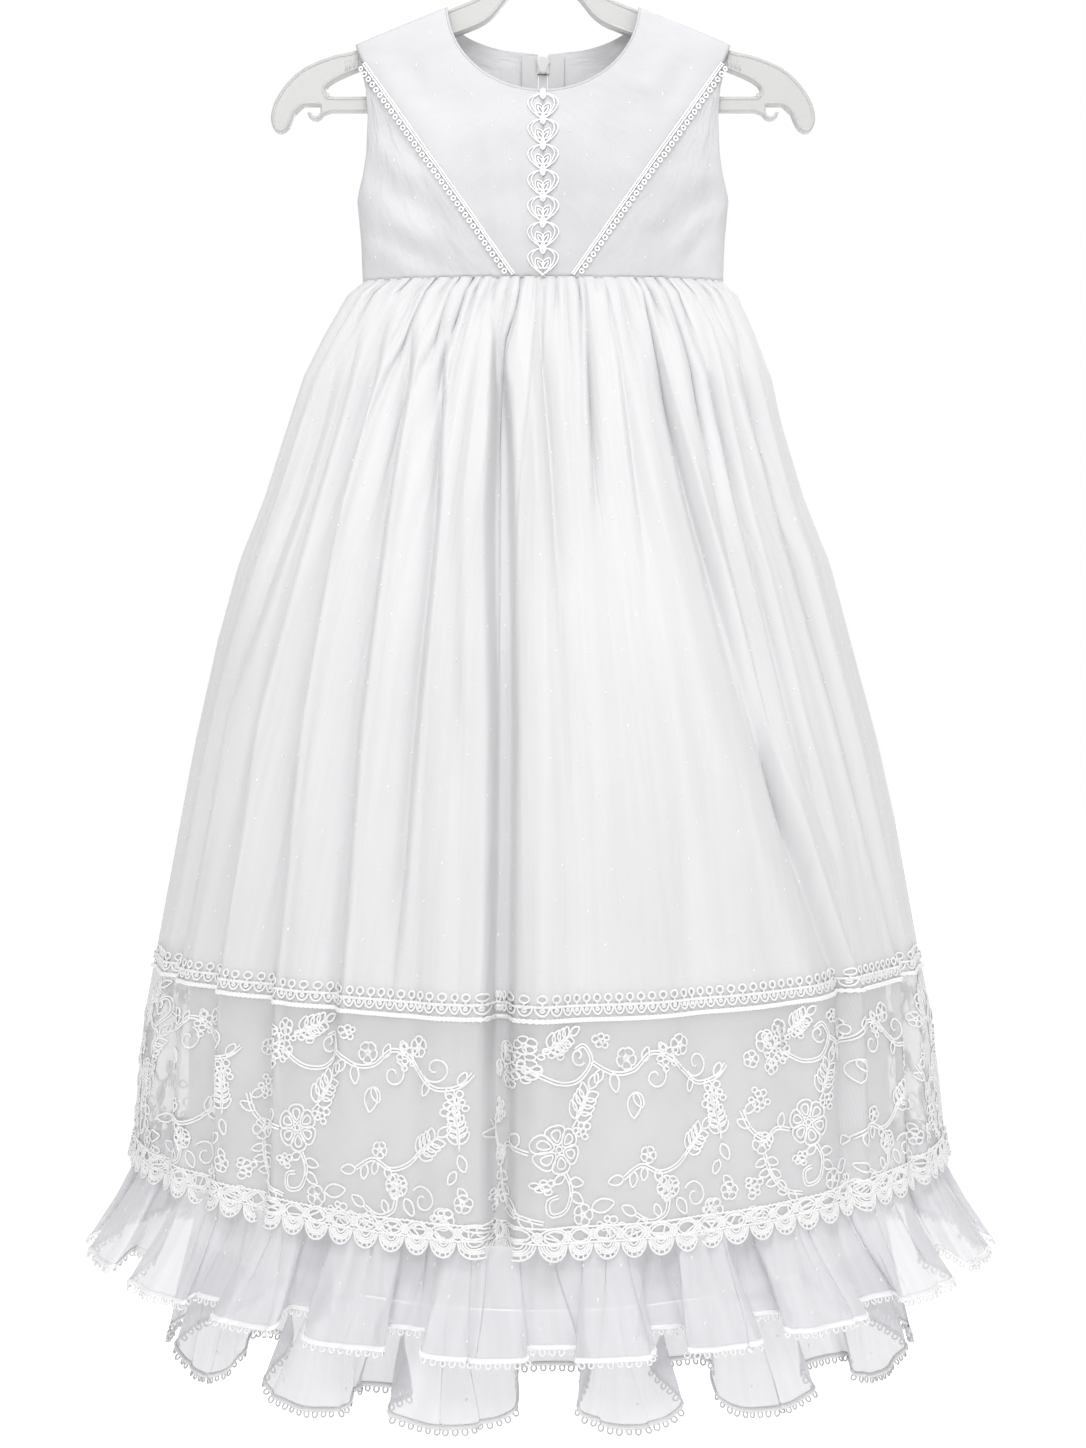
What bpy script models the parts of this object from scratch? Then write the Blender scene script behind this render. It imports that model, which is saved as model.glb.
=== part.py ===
"""A baby's christening gown hanging on a moulded plastic hanger.

The gown is white organza and lace: a plain sleeveless bodice with a closed
back zip, a long skirt gathered at the waist, a lace band, and two ruffles.
Sizes are in millimetres and are turned into metres where a mesh is made.
X runs across the gown, its front faces -Y, and Z is up. The origin is the
highest point inside the hanger's hook, where a rod would carry it.
"""

import math

import bmesh
import bpy
import numpy as np
from mathutils import Vector

MM = 0.001
GOWN = "christening_gown"

# Cloth and seams
CLOTH = 1.2
SEAM = 0.4
LIFT = 0.45
TRIM = 1.2
FRONT, BACK = -1, 1
SIDES = (("front", FRONT), ("back", BACK))

# Bodice
WAIST = -268.5
NECK_HALF_WIDTH = 59.5
NECK_TOP = -98.0
FRONT_NECK_DROP = 54.5
BACK_NECK_DROP = 26.0
SHOULDER_TIP_X = 116.0
SHOULDER_TIP_Z = -121.2
SHOULDER_TURN = 4.0
V_TOP_X, V_TOP_Z = 112.8, -132.0
V_FOOT_X = 17.5
ZIP_GAP = 3.2
BODICE_FOOT = WAIST + SEAM / 2
BRAID_HALF_WIDTH = 3.7

# Skirt
GATHERS = 44
FOLDS = 11
FINE_SPANS = 2 * GATHERS
SPANS = 4 * FOLDS
UNDER_SPANS = 18
BAND_TOP = -679.0
BRAID_FOOT = -688.0
CORD_TOP, CORD_FOOT = -689.6, -692.4
BAND_MIDDLE = -740.0
SCALLOP_TOP = -792.4
BAND_FOOT = -801.7
SCALLOP_TIP, SCALLOP_NOTCH = 7.0, 1.5

# Ruffles
UPPER_WAVES, UPPER_SPANS = FOLDS, SPANS
LOWER_WAVES, LOWER_SPANS = 7, 42
BINDING = 2.2
BINDING_THICKNESS = 1.7

# Hanger
HANGER_THICKNESS = 8.0
HANGER_EDGE = 1.0
HOOK_RADIUS = 20.0
HOOK_WIDTH = 8.0
HOOK_START, HOOK_END = -92.0, 205.0
STEM_HALF_WIDTH = 4.5

# Zip
ZIP_TOP = -127.0
SLIDER_LENGTH = 10.0
SLIDER_HALF_WIDTH = 3.7
COIL_HALF_WIDTH = 2.6
PULL_AXIS_Y, PULL_AXIS_Z = 14.25, -132.0
PULL_FOOT = -150.0
PULL_THICKNESS = 0.9


class Profile:
    """Sizes listed from the top of a piece to its foot, and read between its rows."""

    def __init__(self, columns, rows):
        self.columns = {name: [row[place] for row in rows] for place, name in enumerate(columns)}
        self.drops = [-height for height in self.columns["height"]]

    def at(self, name, height):
        return float(np.interp(-height, self.drops, self.columns[name]))


SKIRT = Profile(
    ("height", "half_width", "sway", "depth", "dip", "fold", "gather"),
    (
        (-268.5, 111.6, 0.0, 20.0, 0.0, 0.0, 0.5),
        (-276.5, 120.9, -0.5, 24.0, 0.2, 0.3, 0.7),
        (-300.7, 133.3, -2.0, 36.0, 1.0, 1.2, 0.8),
        (-327.4, 145.0, -3.5, 50.0, 2.0, 2.2, 0.5),
        (-353.4, 152.0, -5.0, 62.0, 3.0, 3.0, 0.0),
        (-403.0, 167.4, -5.5, 85.0, 5.0, 4.0, 0.0),
        (-442.0, 183.0, -5.3, 102.0, 6.5, 4.6, 0.0),
        (-490.4, 196.0, -5.5, 121.0, 8.0, 5.2, 0.0),
        (-553.0, 211.4, -4.0, 143.0, 10.0, 5.8, 0.0),
        (-601.4, 221.3, -3.2, 157.0, 12.0, 6.0, 0.0),
        (-679.0, 235.5, -3.5, 174.0, 15.0, 5.0, 0.0),
        (-721.0, 243.5, -3.2, 181.0, 19.0, 4.6, 0.0),
        (-759.5, 248.0, -2.8, 186.0, 23.5, 4.3, 0.0),
        (-801.7, 251.7, -2.2, 190.0, 28.0, 4.0, 0.0),
        (-812.0, 252.6, -2.2, 191.0, 29.0, 4.0, 0.0),
    ),
)

UNDERSKIRT = Profile(
    ("height", "half_width", "sway", "depth", "dip"),
    (
        (-269.2, 108.8, 0.0, 15.6, 0.0),
        (-300.7, 126.0, -2.0, 26.0, 1.0),
        (-353.4, 141.5, -5.0, 49.0, 3.0),
        (-442.0, 168.0, -5.3, 86.0, 6.5),
        (-553.0, 193.0, -4.0, 124.0, 10.0),
        (-679.0, 215.0, -3.5, 152.0, 15.0),
        (-801.7, 218.0, -2.2, 158.0, 21.0),
        (-850.0, 214.5, -2.0, 157.0, 22.0),
    ),
)

UPPER_RUFFLE = Profile(
    ("height", "half_width", "sway", "depth", "dip", "wave", "rise"),
    (
        (-802.2, 249.4, -2.2, 187.7, 28.0, 4.0, 0.0),
        (-812.0, 250.6, -2.1, 189.0, 29.0, 4.2, 0.0),
        (-832.0, 261.0, -2.0, 199.0, 30.0, 7.0, 2.5),
        (-856.0, 276.0, -2.0, 213.0, 31.0, 9.5, 5.0),
        (-859.0, 277.5, -2.0, 214.3, 31.0, 9.8, 5.0),
    ),
)

LOWER_RUFFLE = Profile(
    ("height", "half_width", "sway", "depth", "dip", "wave", "rise"),
    (
        (-850.4, 214.5, -2.0, 157.0, 22.0, 0.6, 0.0),
        (-880.0, 220.0, -2.0, 170.0, 16.5, 7.5, 4.0),
        (-919.0, 228.0, -2.0, 186.0, 12.0, 13.5, 9.5),
        (-922.0, 228.8, -2.0, 187.0, 12.0, 13.8, 9.5),
    ),
)

BODICE = Profile(
    ("height", "half_width", "edge_depth"),
    (
        (-121.2, 116.0, 6.6),
        (-131.4, 113.5, 6.6),
        (-149.4, 109.5, 6.6),
        (-167.4, 108.2, 6.6),
        (-189.7, 109.1, 6.6),
        (-203.0, 111.3, 5.2),
        (-213.0, 114.0, 2.2),
        (-218.0, 115.0, 0.2),
        (-243.0, 112.6, 0.2),
        (-268.5, 111.6, 0.2),
    ),
)

CHEST = {
    FRONT: Profile(
        ("height", "depth"),
        (
            (-98, 8.0), (-125, 11.5), (-152.5, 15.0), (-176, 18.0),
            (-205, 20.0), (-236, 20.6), (-268.5, 20.0),
        ),
    ),
    BACK: Profile(
        ("height", "depth"),
        ((-98, 8.0), (-122, 12.0), (-168, 12.0), (-218, 17.0), (-268.5, 20.0)),
    ),
}


def finish(name, colour, roughness, metallic=0.0):
    """A plain coloured surface."""
    material = bpy.data.materials.new(name)
    material.use_nodes = True
    shader = material.node_tree.nodes["Principled BSDF"]
    shader.inputs["Base Color"].default_value = (*colour, 1.0)
    shader.inputs["Roughness"].default_value = roughness
    shader.inputs["Metallic"].default_value = metallic
    material.diffuse_color = (*colour, 1.0)
    return material


def new_object(name, mesh, material):
    """A named object in the gown's collection, with one material."""
    mesh.materials.clear()
    mesh.materials.append(material)
    item = bpy.data.objects.new(name, mesh)
    bpy.data.collections[GOWN].objects.link(item)
    return item


def evaluated_mesh(item):
    """The object's mesh with its modifiers applied."""
    bpy.context.view_layer.update()
    depsgraph = bpy.context.evaluated_depsgraph_get()
    return bpy.data.meshes.new_from_object(item.evaluated_get(depsgraph))


def join_rows(mesh, upper, lower):
    """Triangles between two rows of points, one of which may have twice the spans."""
    fine, coarse = (upper, lower) if len(upper) >= len(lower) else (lower, upper)
    flip = coarse is upper and len(upper) != len(lower)

    def face(*corners):
        mesh.faces.new(corners[::-1] if flip else corners)

    if len(upper) == len(lower):
        for place in range(len(upper) - 1):
            face(upper[place], lower[place], lower[place + 1])
            face(upper[place], lower[place + 1], upper[place + 1])
        return
    for place in range(len(coarse) - 1):
        first, middle, last = fine[2 * place : 2 * place + 3]
        face(first, coarse[place], middle)
        face(middle, coarse[place], coarse[place + 1])
        face(middle, coarse[place + 1], last)


def cloth(name, rows, material, side=None, thickness=CLOTH, lift=0.0, offset=-1.0, mirror=False):
    """A cloth wall on rows of points that run from its top edge to its foot.

    A trim is lifted off the panel whose points it takes. At a seam in the plane
    between front and back, the wall is cut off square at that plane.
    """
    work = bmesh.new()
    lines = [[work.verts.new(Vector(point) * MM) for point in row] for row in rows]
    for upper, lower in zip(lines, lines[1:]):
        join_rows(work, upper, lower)
    mesh = bpy.data.meshes.new(name)
    work.to_mesh(mesh)
    work.free()
    item = new_object(name, mesh, material)
    if mirror:
        twin = item.modifiers.new("Mirror", "MIRROR")
        twin.use_clip = True
        twin.merge_threshold = 0.0001
    if lift:
        raised = item.modifiers.new("Lift", "DISPLACE")
        raised.mid_level = 0.0
        raised.strength = lift * MM
    wall = item.modifiers.new("Wall", "SOLIDIFY")
    wall.thickness = thickness * MM
    wall.offset = offset
    wall.use_even_offset = True
    solid = evaluated_mesh(item)
    item.modifiers.clear()
    item.data = solid
    if side is not None:
        for vertex in solid.vertices:
            vertex.co.y = side * max(side * vertex.co.y, SEAM / 2 * MM)
    return item


def even_angles(half_width, depth, spans):
    """Angles that divide half an ellipse into stretches of equal length."""
    angles = np.linspace(0.0, math.pi, 721)
    steps = np.hypot(np.diff(half_width * np.cos(angles)), np.diff(depth * np.sin(angles)))
    lengths = np.concatenate(([0.0], np.cumsum(steps)))
    return np.interp(np.linspace(0.0, lengths[-1], spans + 1), lengths, angles)


def hanging_row(profile, side, height, spans, moved):
    """Points round the front or back at one height, each moved inwards and up."""
    half_width = profile.at("half_width", height)
    depth = profile.at("depth", height)
    row = []
    for place, angle in enumerate(even_angles(half_width, depth, spans)):
        across, out = math.cos(angle), math.sin(angle)
        facing = Vector((depth * across, half_width * out)).normalized()
        inward, up = moved(place / spans)
        x = half_width * across - facing.x * inward
        y = depth * out - facing.y * inward
        z = height - profile.at("dip", height) * out * out + up
        row.append((side * x + profile.at("sway", height), side * (y + SEAM / 2), z))
    return row


def unevenness(place, count):
    """How deep one fold is against the others, from its number along the row."""
    number = min(int(place * count), count - 1)
    return 0.8 + 0.3 * math.sin(2.1 * number + 0.6)


def skirt_row(side, height, spans=SPANS):
    """A row of the skirt, with its folds and, near the waist, its gathers."""
    fold = SKIRT.at("fold", height)
    gather = SKIRT.at("gather", height) if spans == FINE_SPANS else 0.0

    def moved(place):
        folded = fold * unevenness(place, FOLDS) * (1 - math.cos(math.tau * FOLDS * place))
        away_from_seam = min(1.0, (3 * math.sin(math.pi * place)) ** 2)
        return folded + gather * away_from_seam * (1 - math.cos(math.tau * GATHERS * place)), 0.0

    return hanging_row(SKIRT, side, height, spans, moved)


def ruffle_row(profile, side, height, spans, waves):
    """A row of a ruffle, whose waves open towards its hem."""
    wave = profile.at("wave", height)
    rise = profile.at("rise", height)

    def moved(place):
        share = unevenness(place, waves) * (1 - math.cos(math.tau * waves * place))
        return wave * share, rise * share

    return hanging_row(profile, side, height, spans, moved)


def between(upper, lower, share):
    """A row part of the way from one row of a panel to the next."""
    return [tuple(Vector(a).lerp(Vector(b), share)) for a, b in zip(upper, lower)]


def doubled(row):
    """A row with one more point in the middle of each span."""
    points = []
    for first, last in zip(row, row[1:]):
        points += [first, tuple(Vector(first).lerp(Vector(last), 0.5))]
    return points + [row[-1]]


def shoulder_seam(x):
    """Height of the shoulder seam above a place across the gown."""
    slope = (SHOULDER_TIP_Z - NECK_TOP) / (SHOULDER_TIP_X - NECK_HALF_WIDTH)
    return NECK_TOP + slope * (abs(x) - NECK_HALF_WIDTH)


def bodice_point(side, x, z):
    """A point of the bodice's outer face, which turns over the hanger at the shoulder."""
    edge = BODICE.at("edge_depth", z)
    chest = CHEST[side].at("depth", z)
    share = min(1.0, abs(x) / BODICE.at("half_width", z))
    full = edge + (chest - edge) * math.sqrt(1.0 - share * share)
    below = min(1.0, max(0.0, (shoulder_seam(x) - z) / SHOULDER_TURN))
    turned = 1.0 - (1.0 - below) ** 3.5
    return (x, side * (SEAM / 2 + (full - SEAM / 2) * turned), z)


def neck_point(angle, drop):
    """A point of the round neckline, from its shoulder end at 0 degrees."""
    turn = math.radians(angle)
    return (NECK_HALF_WIDTH * math.cos(turn), NECK_TOP - drop * math.sin(turn))


def v_line(z):
    """Where the slanting seam lies across the front at one height."""
    return V_TOP_X + (V_FOOT_X - V_TOP_X) * (V_TOP_Z - z) / (V_TOP_Z - BODICE_FOOT)


def ruled_row(side, outer, inner, spans, bunching):
    """Points from an outer edge to an inner one, closer together at the outer."""
    row = []
    for place in range(spans + 1):
        share = (place / spans) ** bunching
        x = outer[0] + (inner[0] - outer[0]) * share
        z = outer[1] + (inner[1] - outer[1]) * share
        row.append(bodice_point(side, x, z))
    return row


V_HEIGHTS = (-135.0, -149.4, -166.0, -183.0, -200.0, -218.0, -234.0, -251.0, BODICE_FOOT)
FRONT_NECK_ANGLES = (0.0, 1.3, 4.3, 16.0, 33.0, 52.0, 72.0, 90.0)
FRONT_CENTRE_HEIGHTS = (-176.0, -205.0, -236.0, BODICE_FOOT)
BACK_OUTER_HEIGHTS = (-137.0, -155.0, -175.0, -195.0, -207.0, -218.0, -243.0, BODICE_FOOT)
BACK_NECK_ANGLES = (0.0, 2.7, 9.0, 38.0, 66.0)
BACK_CENTRE_HEIGHTS = (-124.0, -146.0, -168.0, -193.0, -218.0, BODICE_FOOT)


def shoulder_end():
    """The first three rows of a panel at the shoulder tip, over the hanger's arm."""
    return [(SHOULDER_TIP_X - fall * 0.2, SHOULDER_TIP_Z - fall) for fall in (0.0, 1.2, 4.0)]


def front_centre_rows():
    """Half of the front's V panel, from the shoulder seam to the waist."""
    outer = shoulder_end() + [(v_line(z) - SEAM / 2, z) for z in V_HEIGHTS]
    inner = [neck_point(angle, FRONT_NECK_DROP) for angle in FRONT_NECK_ANGLES]
    inner[-1] = (0.0, inner[-1][1])
    inner += [(0.0, z) for z in FRONT_CENTRE_HEIGHTS]
    return [ruled_row(FRONT, a, b, 5, 1.0) for a, b in zip(outer, inner)]


def front_side_rows():
    """The panel between the V seam and the side, with the armhole above."""
    rows = []
    for z in V_HEIGHTS:
        outer = (BODICE.at("half_width", z), z)
        rows.append(ruled_row(FRONT, outer, (v_line(z) + SEAM / 2, z), 5, 1.8))
    return rows


def back_rows():
    """Half of the back, from the shoulder seam to the waist, up to the zip."""
    outer = shoulder_end() + [(BODICE.at("half_width", z), z) for z in BACK_OUTER_HEIGHTS]
    inner = [neck_point(angle, BACK_NECK_DROP) for angle in BACK_NECK_ANGLES]
    inner += [(ZIP_GAP, z) for z in BACK_CENTRE_HEIGHTS]
    return [ruled_row(BACK, a, b, 6, 1.5) for a, b in zip(outer, inner)]


def flipped(rows):
    """The same panel on the other side of the gown, facing the same way."""
    return [[(-x, y, z) for x, y, z in reversed(row)] for row in rows]


def turned(rows):
    """The same rows listed the other way, which turns the panel's face round."""
    return [row[::-1] for row in rows]


def v_braid_rows():
    """The slanting braid, on the points of the two panels that it joins."""
    centre_rows = front_centre_rows()[3:]
    rows = []
    for centre, outer in zip(centre_rows, front_side_rows()):
        reach_in = BRAID_HALF_WIDTH / (Vector(centre[1]) - Vector(centre[0])).length
        reach_out = BRAID_HALF_WIDTH / (Vector(outer[-2]) - Vector(outer[-1])).length
        inner_edge = tuple(Vector(centre[0]).lerp(Vector(centre[1]), min(1.0, reach_in)))
        outer_edge = tuple(Vector(outer[-1]).lerp(Vector(outer[-2]), min(1.0, reach_out)))
        rows.append([inner_edge, centre[0], outer[-1], outer_edge])
    return rows


MEDALLIONS = 7
MEDALLION_HALF_WIDTH = 9.4
MEDALLION_WAIST = 3.4
MEDALLION_STEPS = 4
LACE_TOP, LACE_FOOT = -155.0, -266.5
LACE_LIFT = 0.65


def lace_rows():
    """The chain of medallions down the centre front, wide and narrow by turns."""
    rows = []
    count = MEDALLIONS * MEDALLION_STEPS
    for step in range(count + 1):
        z = LACE_TOP + (LACE_FOOT - LACE_TOP) * step / count
        swell = abs(math.sin(math.pi * MEDALLIONS * step / count)) ** 0.7
        half = MEDALLION_WAIST + (MEDALLION_HALF_WIDTH - MEDALLION_WAIST) * swell
        rows.append([bodice_point(FRONT, x, z) for x in (-half, 0.0, half)])
    return rows


def make_bodice(satin, lace):
    """Five panels, two slanting braids and the lace chain."""
    cloth("bodice_front_centre", turned(front_centre_rows()), satin, FRONT, mirror=True)
    cloth("bodice_front_side_l", turned(front_side_rows()), satin, FRONT)
    cloth("bodice_front_side_r", flipped(turned(front_side_rows())), satin, FRONT)
    cloth("bodice_back_l", back_rows(), satin, BACK)
    cloth("bodice_back_r", flipped(back_rows()), satin, BACK)
    cloth("bodice_braid_l", v_braid_rows(), lace, None, TRIM, LIFT, 1.0)
    cloth("bodice_braid_r", flipped(v_braid_rows()), lace, None, TRIM, LIFT, 1.0)
    cloth("bodice_lace_centre", lace_rows(), lace, None, TRIM, LACE_LIFT, 1.0)


def make_skirt(organza, lining, tulle, lace):
    """The gathered skirt, the underskirt, the lace band and the trims on it."""
    fine_heights = (WAIST - SEAM / 2, -286.0, -318.0)
    coarse_heights = (-353.4, -403.0, -442.0, -490.4, -553.0, -615.0, BAND_TOP + SEAM / 2)
    under_heights = (-269.2, -300.7, -353.4, -442.0, -553.0, -801.7, -850.0)
    band_heights = (
        BAND_TOP - SEAM / 2, BRAID_FOOT, BAND_MIDDLE, SCALLOP_TOP, BAND_FOOT, BAND_FOOT - SCALLOP_TIP
    )
    for word, side in SIDES:
        rows = [skirt_row(side, z, FINE_SPANS) for z in fine_heights]
        rows += [skirt_row(side, z) for z in coarse_heights]
        cloth(f"skirt_{word}", rows, organza, side)

        rows = [hanging_row(UNDERSKIRT, side, z, UNDER_SPANS, lambda _: (0.0, 0.0)) for z in under_heights]
        cloth(f"underskirt_{word}", rows, lining, side)

        top, braid_foot, middle, scallop_top, foot, tip = (skirt_row(side, z) for z in band_heights)
        cloth(f"lace_band_{word}", [top, braid_foot, middle, scallop_top, foot], tulle, side)
        cloth(f"band_braid_{word}", [top, braid_foot], lace, side, TRIM, LIFT, 1.0)
        share = [(BRAID_FOOT - z) / (BRAID_FOOT - BAND_MIDDLE) for z in (CORD_TOP, CORD_FOOT)]
        cord = [between(braid_foot, middle, each) for each in share]
        cloth(f"band_cord_{word}", cord, lace, side, TRIM, LIFT, 1.0)
        notched = between(foot, tip, SCALLOP_NOTCH / SCALLOP_TIP)
        edge = [
            high if place % 2 == 0 else low
            for place, (high, low) in enumerate(zip(doubled(notched), doubled(tip)))
        ]
        cloth(f"scallop_lace_{word}", [scallop_top, edge], lace, side, TRIM, LIFT, 1.0)


def make_ruffle(name, profile, heights, spans, waves, organza, satin):
    """One ruffle, front and back, with the narrow binding along its hem."""
    hem = heights[-1]
    for word, side in SIDES:
        rows = [ruffle_row(profile, side, z, spans, waves) for z in heights]
        cloth(f"{name}_{word}", rows, organza, side)
        bound = [ruffle_row(profile, side, hem - z, spans, waves) for z in (SEAM, SEAM + BINDING)]
        cloth(f"{name}_binding_{word}", bound, satin, side, BINDING_THICKNESS, 0.0, 0.0)


def smooth(points, steps):
    """A rounded line through the points, ends included."""
    ends = [points[0]] + list(points) + [points[-1]]

    def bend(before, start, end, after, t):
        slope = (end - before) * t
        curve = (2 * before - 5 * start + 4 * end - after) * t * t
        twist = (3 * start - before - 3 * end + after) * t**3
        return 0.5 * (2 * start + slope + curve + twist)

    line = []
    for a, b, c, d in zip(ends, ends[1:], ends[2:], ends[3:]):
        for step in range(steps):
            line.append(tuple(bend(*four, step / steps) for four in zip(a, b, c, d)))
    return line + [points[-1]]


def arc(centre, radius, start, end, steps):
    """Points of a round stretch, by angles in degrees."""
    angles = [math.radians(start + (end - start) * step / steps) for step in range(steps + 1)]
    return [(centre[0] + radius * math.cos(a), centre[1] + radius * math.sin(a)) for a in angles]


ARM_UPPER_EDGE = (
    (4.5, -60.0), (7.0, -67.0), (16.0, -76.0), (30.0, -86.5), (44.0, -94.3), (60.0, -100.8),
    (90.0, -113.4), (116.0, -125.4), (129.0, -128.2), (147.0, -135.5), (159.0, -146.0),
    (166.5, -158.0), (168.4, -168.0), (166.0, -174.5), (161.5, -176.0), (157.0, -172.5), (153.5, -164.5),
)
ARM_LOWER_EDGE = (
    (0.0, -83.5), (13.0, -86.0), (22.3, -93.5), (29.0, -102.0), (36.0, -108.0), (47.0, -113.0),
    (80.0, -125.0), (113.0, -137.0), (126.0, -142.5), (132.5, -146.5), (134.5, -150.0), (132.5, -153.2),
)
BAR_TOP, BAR_FOOT = -153.8, -163.0
CURL_X, CURL_RADIUS, CURL_HOLE = 140.7, 5.2, 3.0
BAR_END_FOOT = -159.2


def hanger_outline():
    """The hanger's outer outline and the one long gap above its bar."""
    curl = (CURL_X, BAR_FOOT)
    right = smooth(ARM_UPPER_EDGE, 2)
    right += [(148.0, BAR_END_FOOT), (CURL_X - CURL_HOLE, BAR_END_FOOT)]
    right += arc(curl, CURL_HOLE, 180.0, 355.0, 4)
    right += arc(curl, CURL_RADIUS, 355.0, 200.0, 5)
    right += [(131.0, BAR_FOOT)]
    left = [(-x, z) for x, z in reversed(right)]
    hook = (0.0, -HOOK_RADIUS)
    outside = HOOK_RADIUS + HOOK_WIDTH
    stem_side = math.degrees(math.asin(STEM_HALF_WIDTH / outside)) - 90.0
    tip = arc(hook, HOOK_RADIUS + HOOK_WIDTH / 2, HOOK_END, HOOK_END, 1)[0]
    loop = arc(hook, HOOK_RADIUS, HOOK_START, HOOK_END, 15)
    loop += arc(tip, HOOK_WIDTH / 2, HOOK_END + 150.0, HOOK_END + 30.0, 3)
    loop += arc(hook, outside, HOOK_END, stem_side, 16)
    outer = left + loop + right
    half_gap = smooth(ARM_LOWER_EDGE, 2) + [(129.0, BAR_TOP)]
    gap = half_gap + [(-x, z) for x, z in reversed(half_gap[1:])]
    return outer, gap


def make_hanger(plastic):
    """One moulding: hook, two arms, a bar across and a strap curl near each end."""
    flat = bpy.data.curves.new("hanger_outline", "CURVE")
    flat.dimensions = "2D"
    flat.fill_mode = "BOTH"
    flat.extrude = (HANGER_THICKNESS / 2 - HANGER_EDGE) * MM
    flat.bevel_depth = HANGER_EDGE * MM
    flat.bevel_resolution = 0
    flat.offset = -HANGER_EDGE * MM
    for outline in hanger_outline():
        line = flat.splines.new("POLY")
        line.points.add(len(outline) - 1)
        line.use_cyclic_u = True
        for point, (x, z) in zip(line.points, outline):
            point.co = (x * MM, z * MM, 0.0, 1.0)
    drawn = bpy.data.objects.new("hanger_outline", flat)
    bpy.data.collections[GOWN].objects.link(drawn)
    solid = evaluated_mesh(drawn)
    work = bmesh.new()
    work.from_mesh(solid)
    bmesh.ops.remove_doubles(work, verts=work.verts, dist=0.00001)
    bmesh.ops.recalc_face_normals(work, faces=work.faces)
    work.to_mesh(solid)
    work.free()
    bpy.data.objects.remove(drawn)
    item = new_object("hanger", solid, plastic)
    item.rotation_euler.x = math.pi / 2
    return item


def block(name, low, high, material=None):
    """A plain block between two corners. One with no material is a tool that shapes another."""
    work = bmesh.new()
    bmesh.ops.create_cube(work, size=1.0)
    low, high = Vector(low) * MM, Vector(high) * MM
    for vertex in work.verts:
        share = vertex.co + Vector((0.5, 0.5, 0.5))
        vertex.co = Vector(a + (b - a) * c for a, b, c in zip(low, high, share))
    mesh = bpy.data.meshes.new(name)
    work.to_mesh(mesh)
    work.free()
    item = bpy.data.objects.new(name, mesh)
    if material:
        mesh.materials.append(material)
    bpy.data.collections[GOWN if material else "cutters"].objects.link(item)
    return item


def shaped(item, operation, other):
    """Joins a tool block to a piece, or cuts it away."""
    step = item.modifiers.new(other.name, "BOOLEAN")
    step.operation = operation
    step.object = other
    other.hide_render = True
    other.display_type = "WIRE"


def zip_strip(name, x_from, x_to, drop, thickness, top, material):
    """A straight strip of the zip, sunk below the bodice back by its drop."""
    heights = (top, -146.0, -168.0, -193.0, -218.0, BODICE_FOOT)
    rows = []
    for z in heights:
        _, y, _ = bodice_point(BACK, 0.0, z)
        rows.append([(x_from, y - drop, z), (x_to, y - drop, z)])
    return cloth(name, rows, material, None, thickness)


def make_zip(tape, nylon):
    """Two tapes inside the back, the coil between them, the slider and its pull tab."""
    zip_strip("zip_tape_l", 13.0, COIL_HALF_WIDTH + SEAM, CLOTH + SEAM, 0.8, -125.5, tape)
    zip_strip("zip_tape_r", -COIL_HALF_WIDTH - SEAM, -13.0, CLOTH + SEAM, 0.8, -125.5, tape)
    slider_foot = ZIP_TOP - SLIDER_LENGTH
    zip_strip("zip_coil", COIL_HALF_WIDTH, -COIL_HALF_WIDTH, 0.6, 1.6, slider_foot - SEAM, nylon)

    wide, neck, bite = SLIDER_HALF_WIDTH, 1.5, 0.5
    throat_in, throat_out, plate = 9.2, 12.3, 1.2
    back, face = throat_in - plate, throat_out + plate
    slider = block("zip_slider", (-wide, throat_out, slider_foot), (wide, face, ZIP_TOP), nylon)
    inner = block("slider_inner", (-wide, back, slider_foot), (wide, throat_in, ZIP_TOP))
    bridge = block(
        "slider_bridge", (-neck, throat_in - bite, slider_foot), (neck, throat_out + bite, ZIP_TOP)
    )
    bail = block("slider_bail", (-0.9, face - bite, -134.6), (0.9, 15.9, -129.4))
    window = block("slider_window", (-2.0, face, -133.6), (2.0, 15.0, -130.4))
    for other in (bridge, inner, bail):
        shaped(slider, "UNION", other)
    shaped(slider, "DIFFERENCE", window)

    half = PULL_THICKNESS / 2
    near, far = PULL_AXIS_Y - half, PULL_AXIS_Y + half
    pull = block("zip_pull", (-2.5, near, PULL_FOOT), (2.5, far, PULL_AXIS_Z + half), nylon)
    hole = block("pull_window", (-1.4, near - 1, PULL_AXIS_Z - 4.2), (1.4, far + 1, PULL_AXIS_Z - half))
    shaped(pull, "DIFFERENCE", hole)


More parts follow.
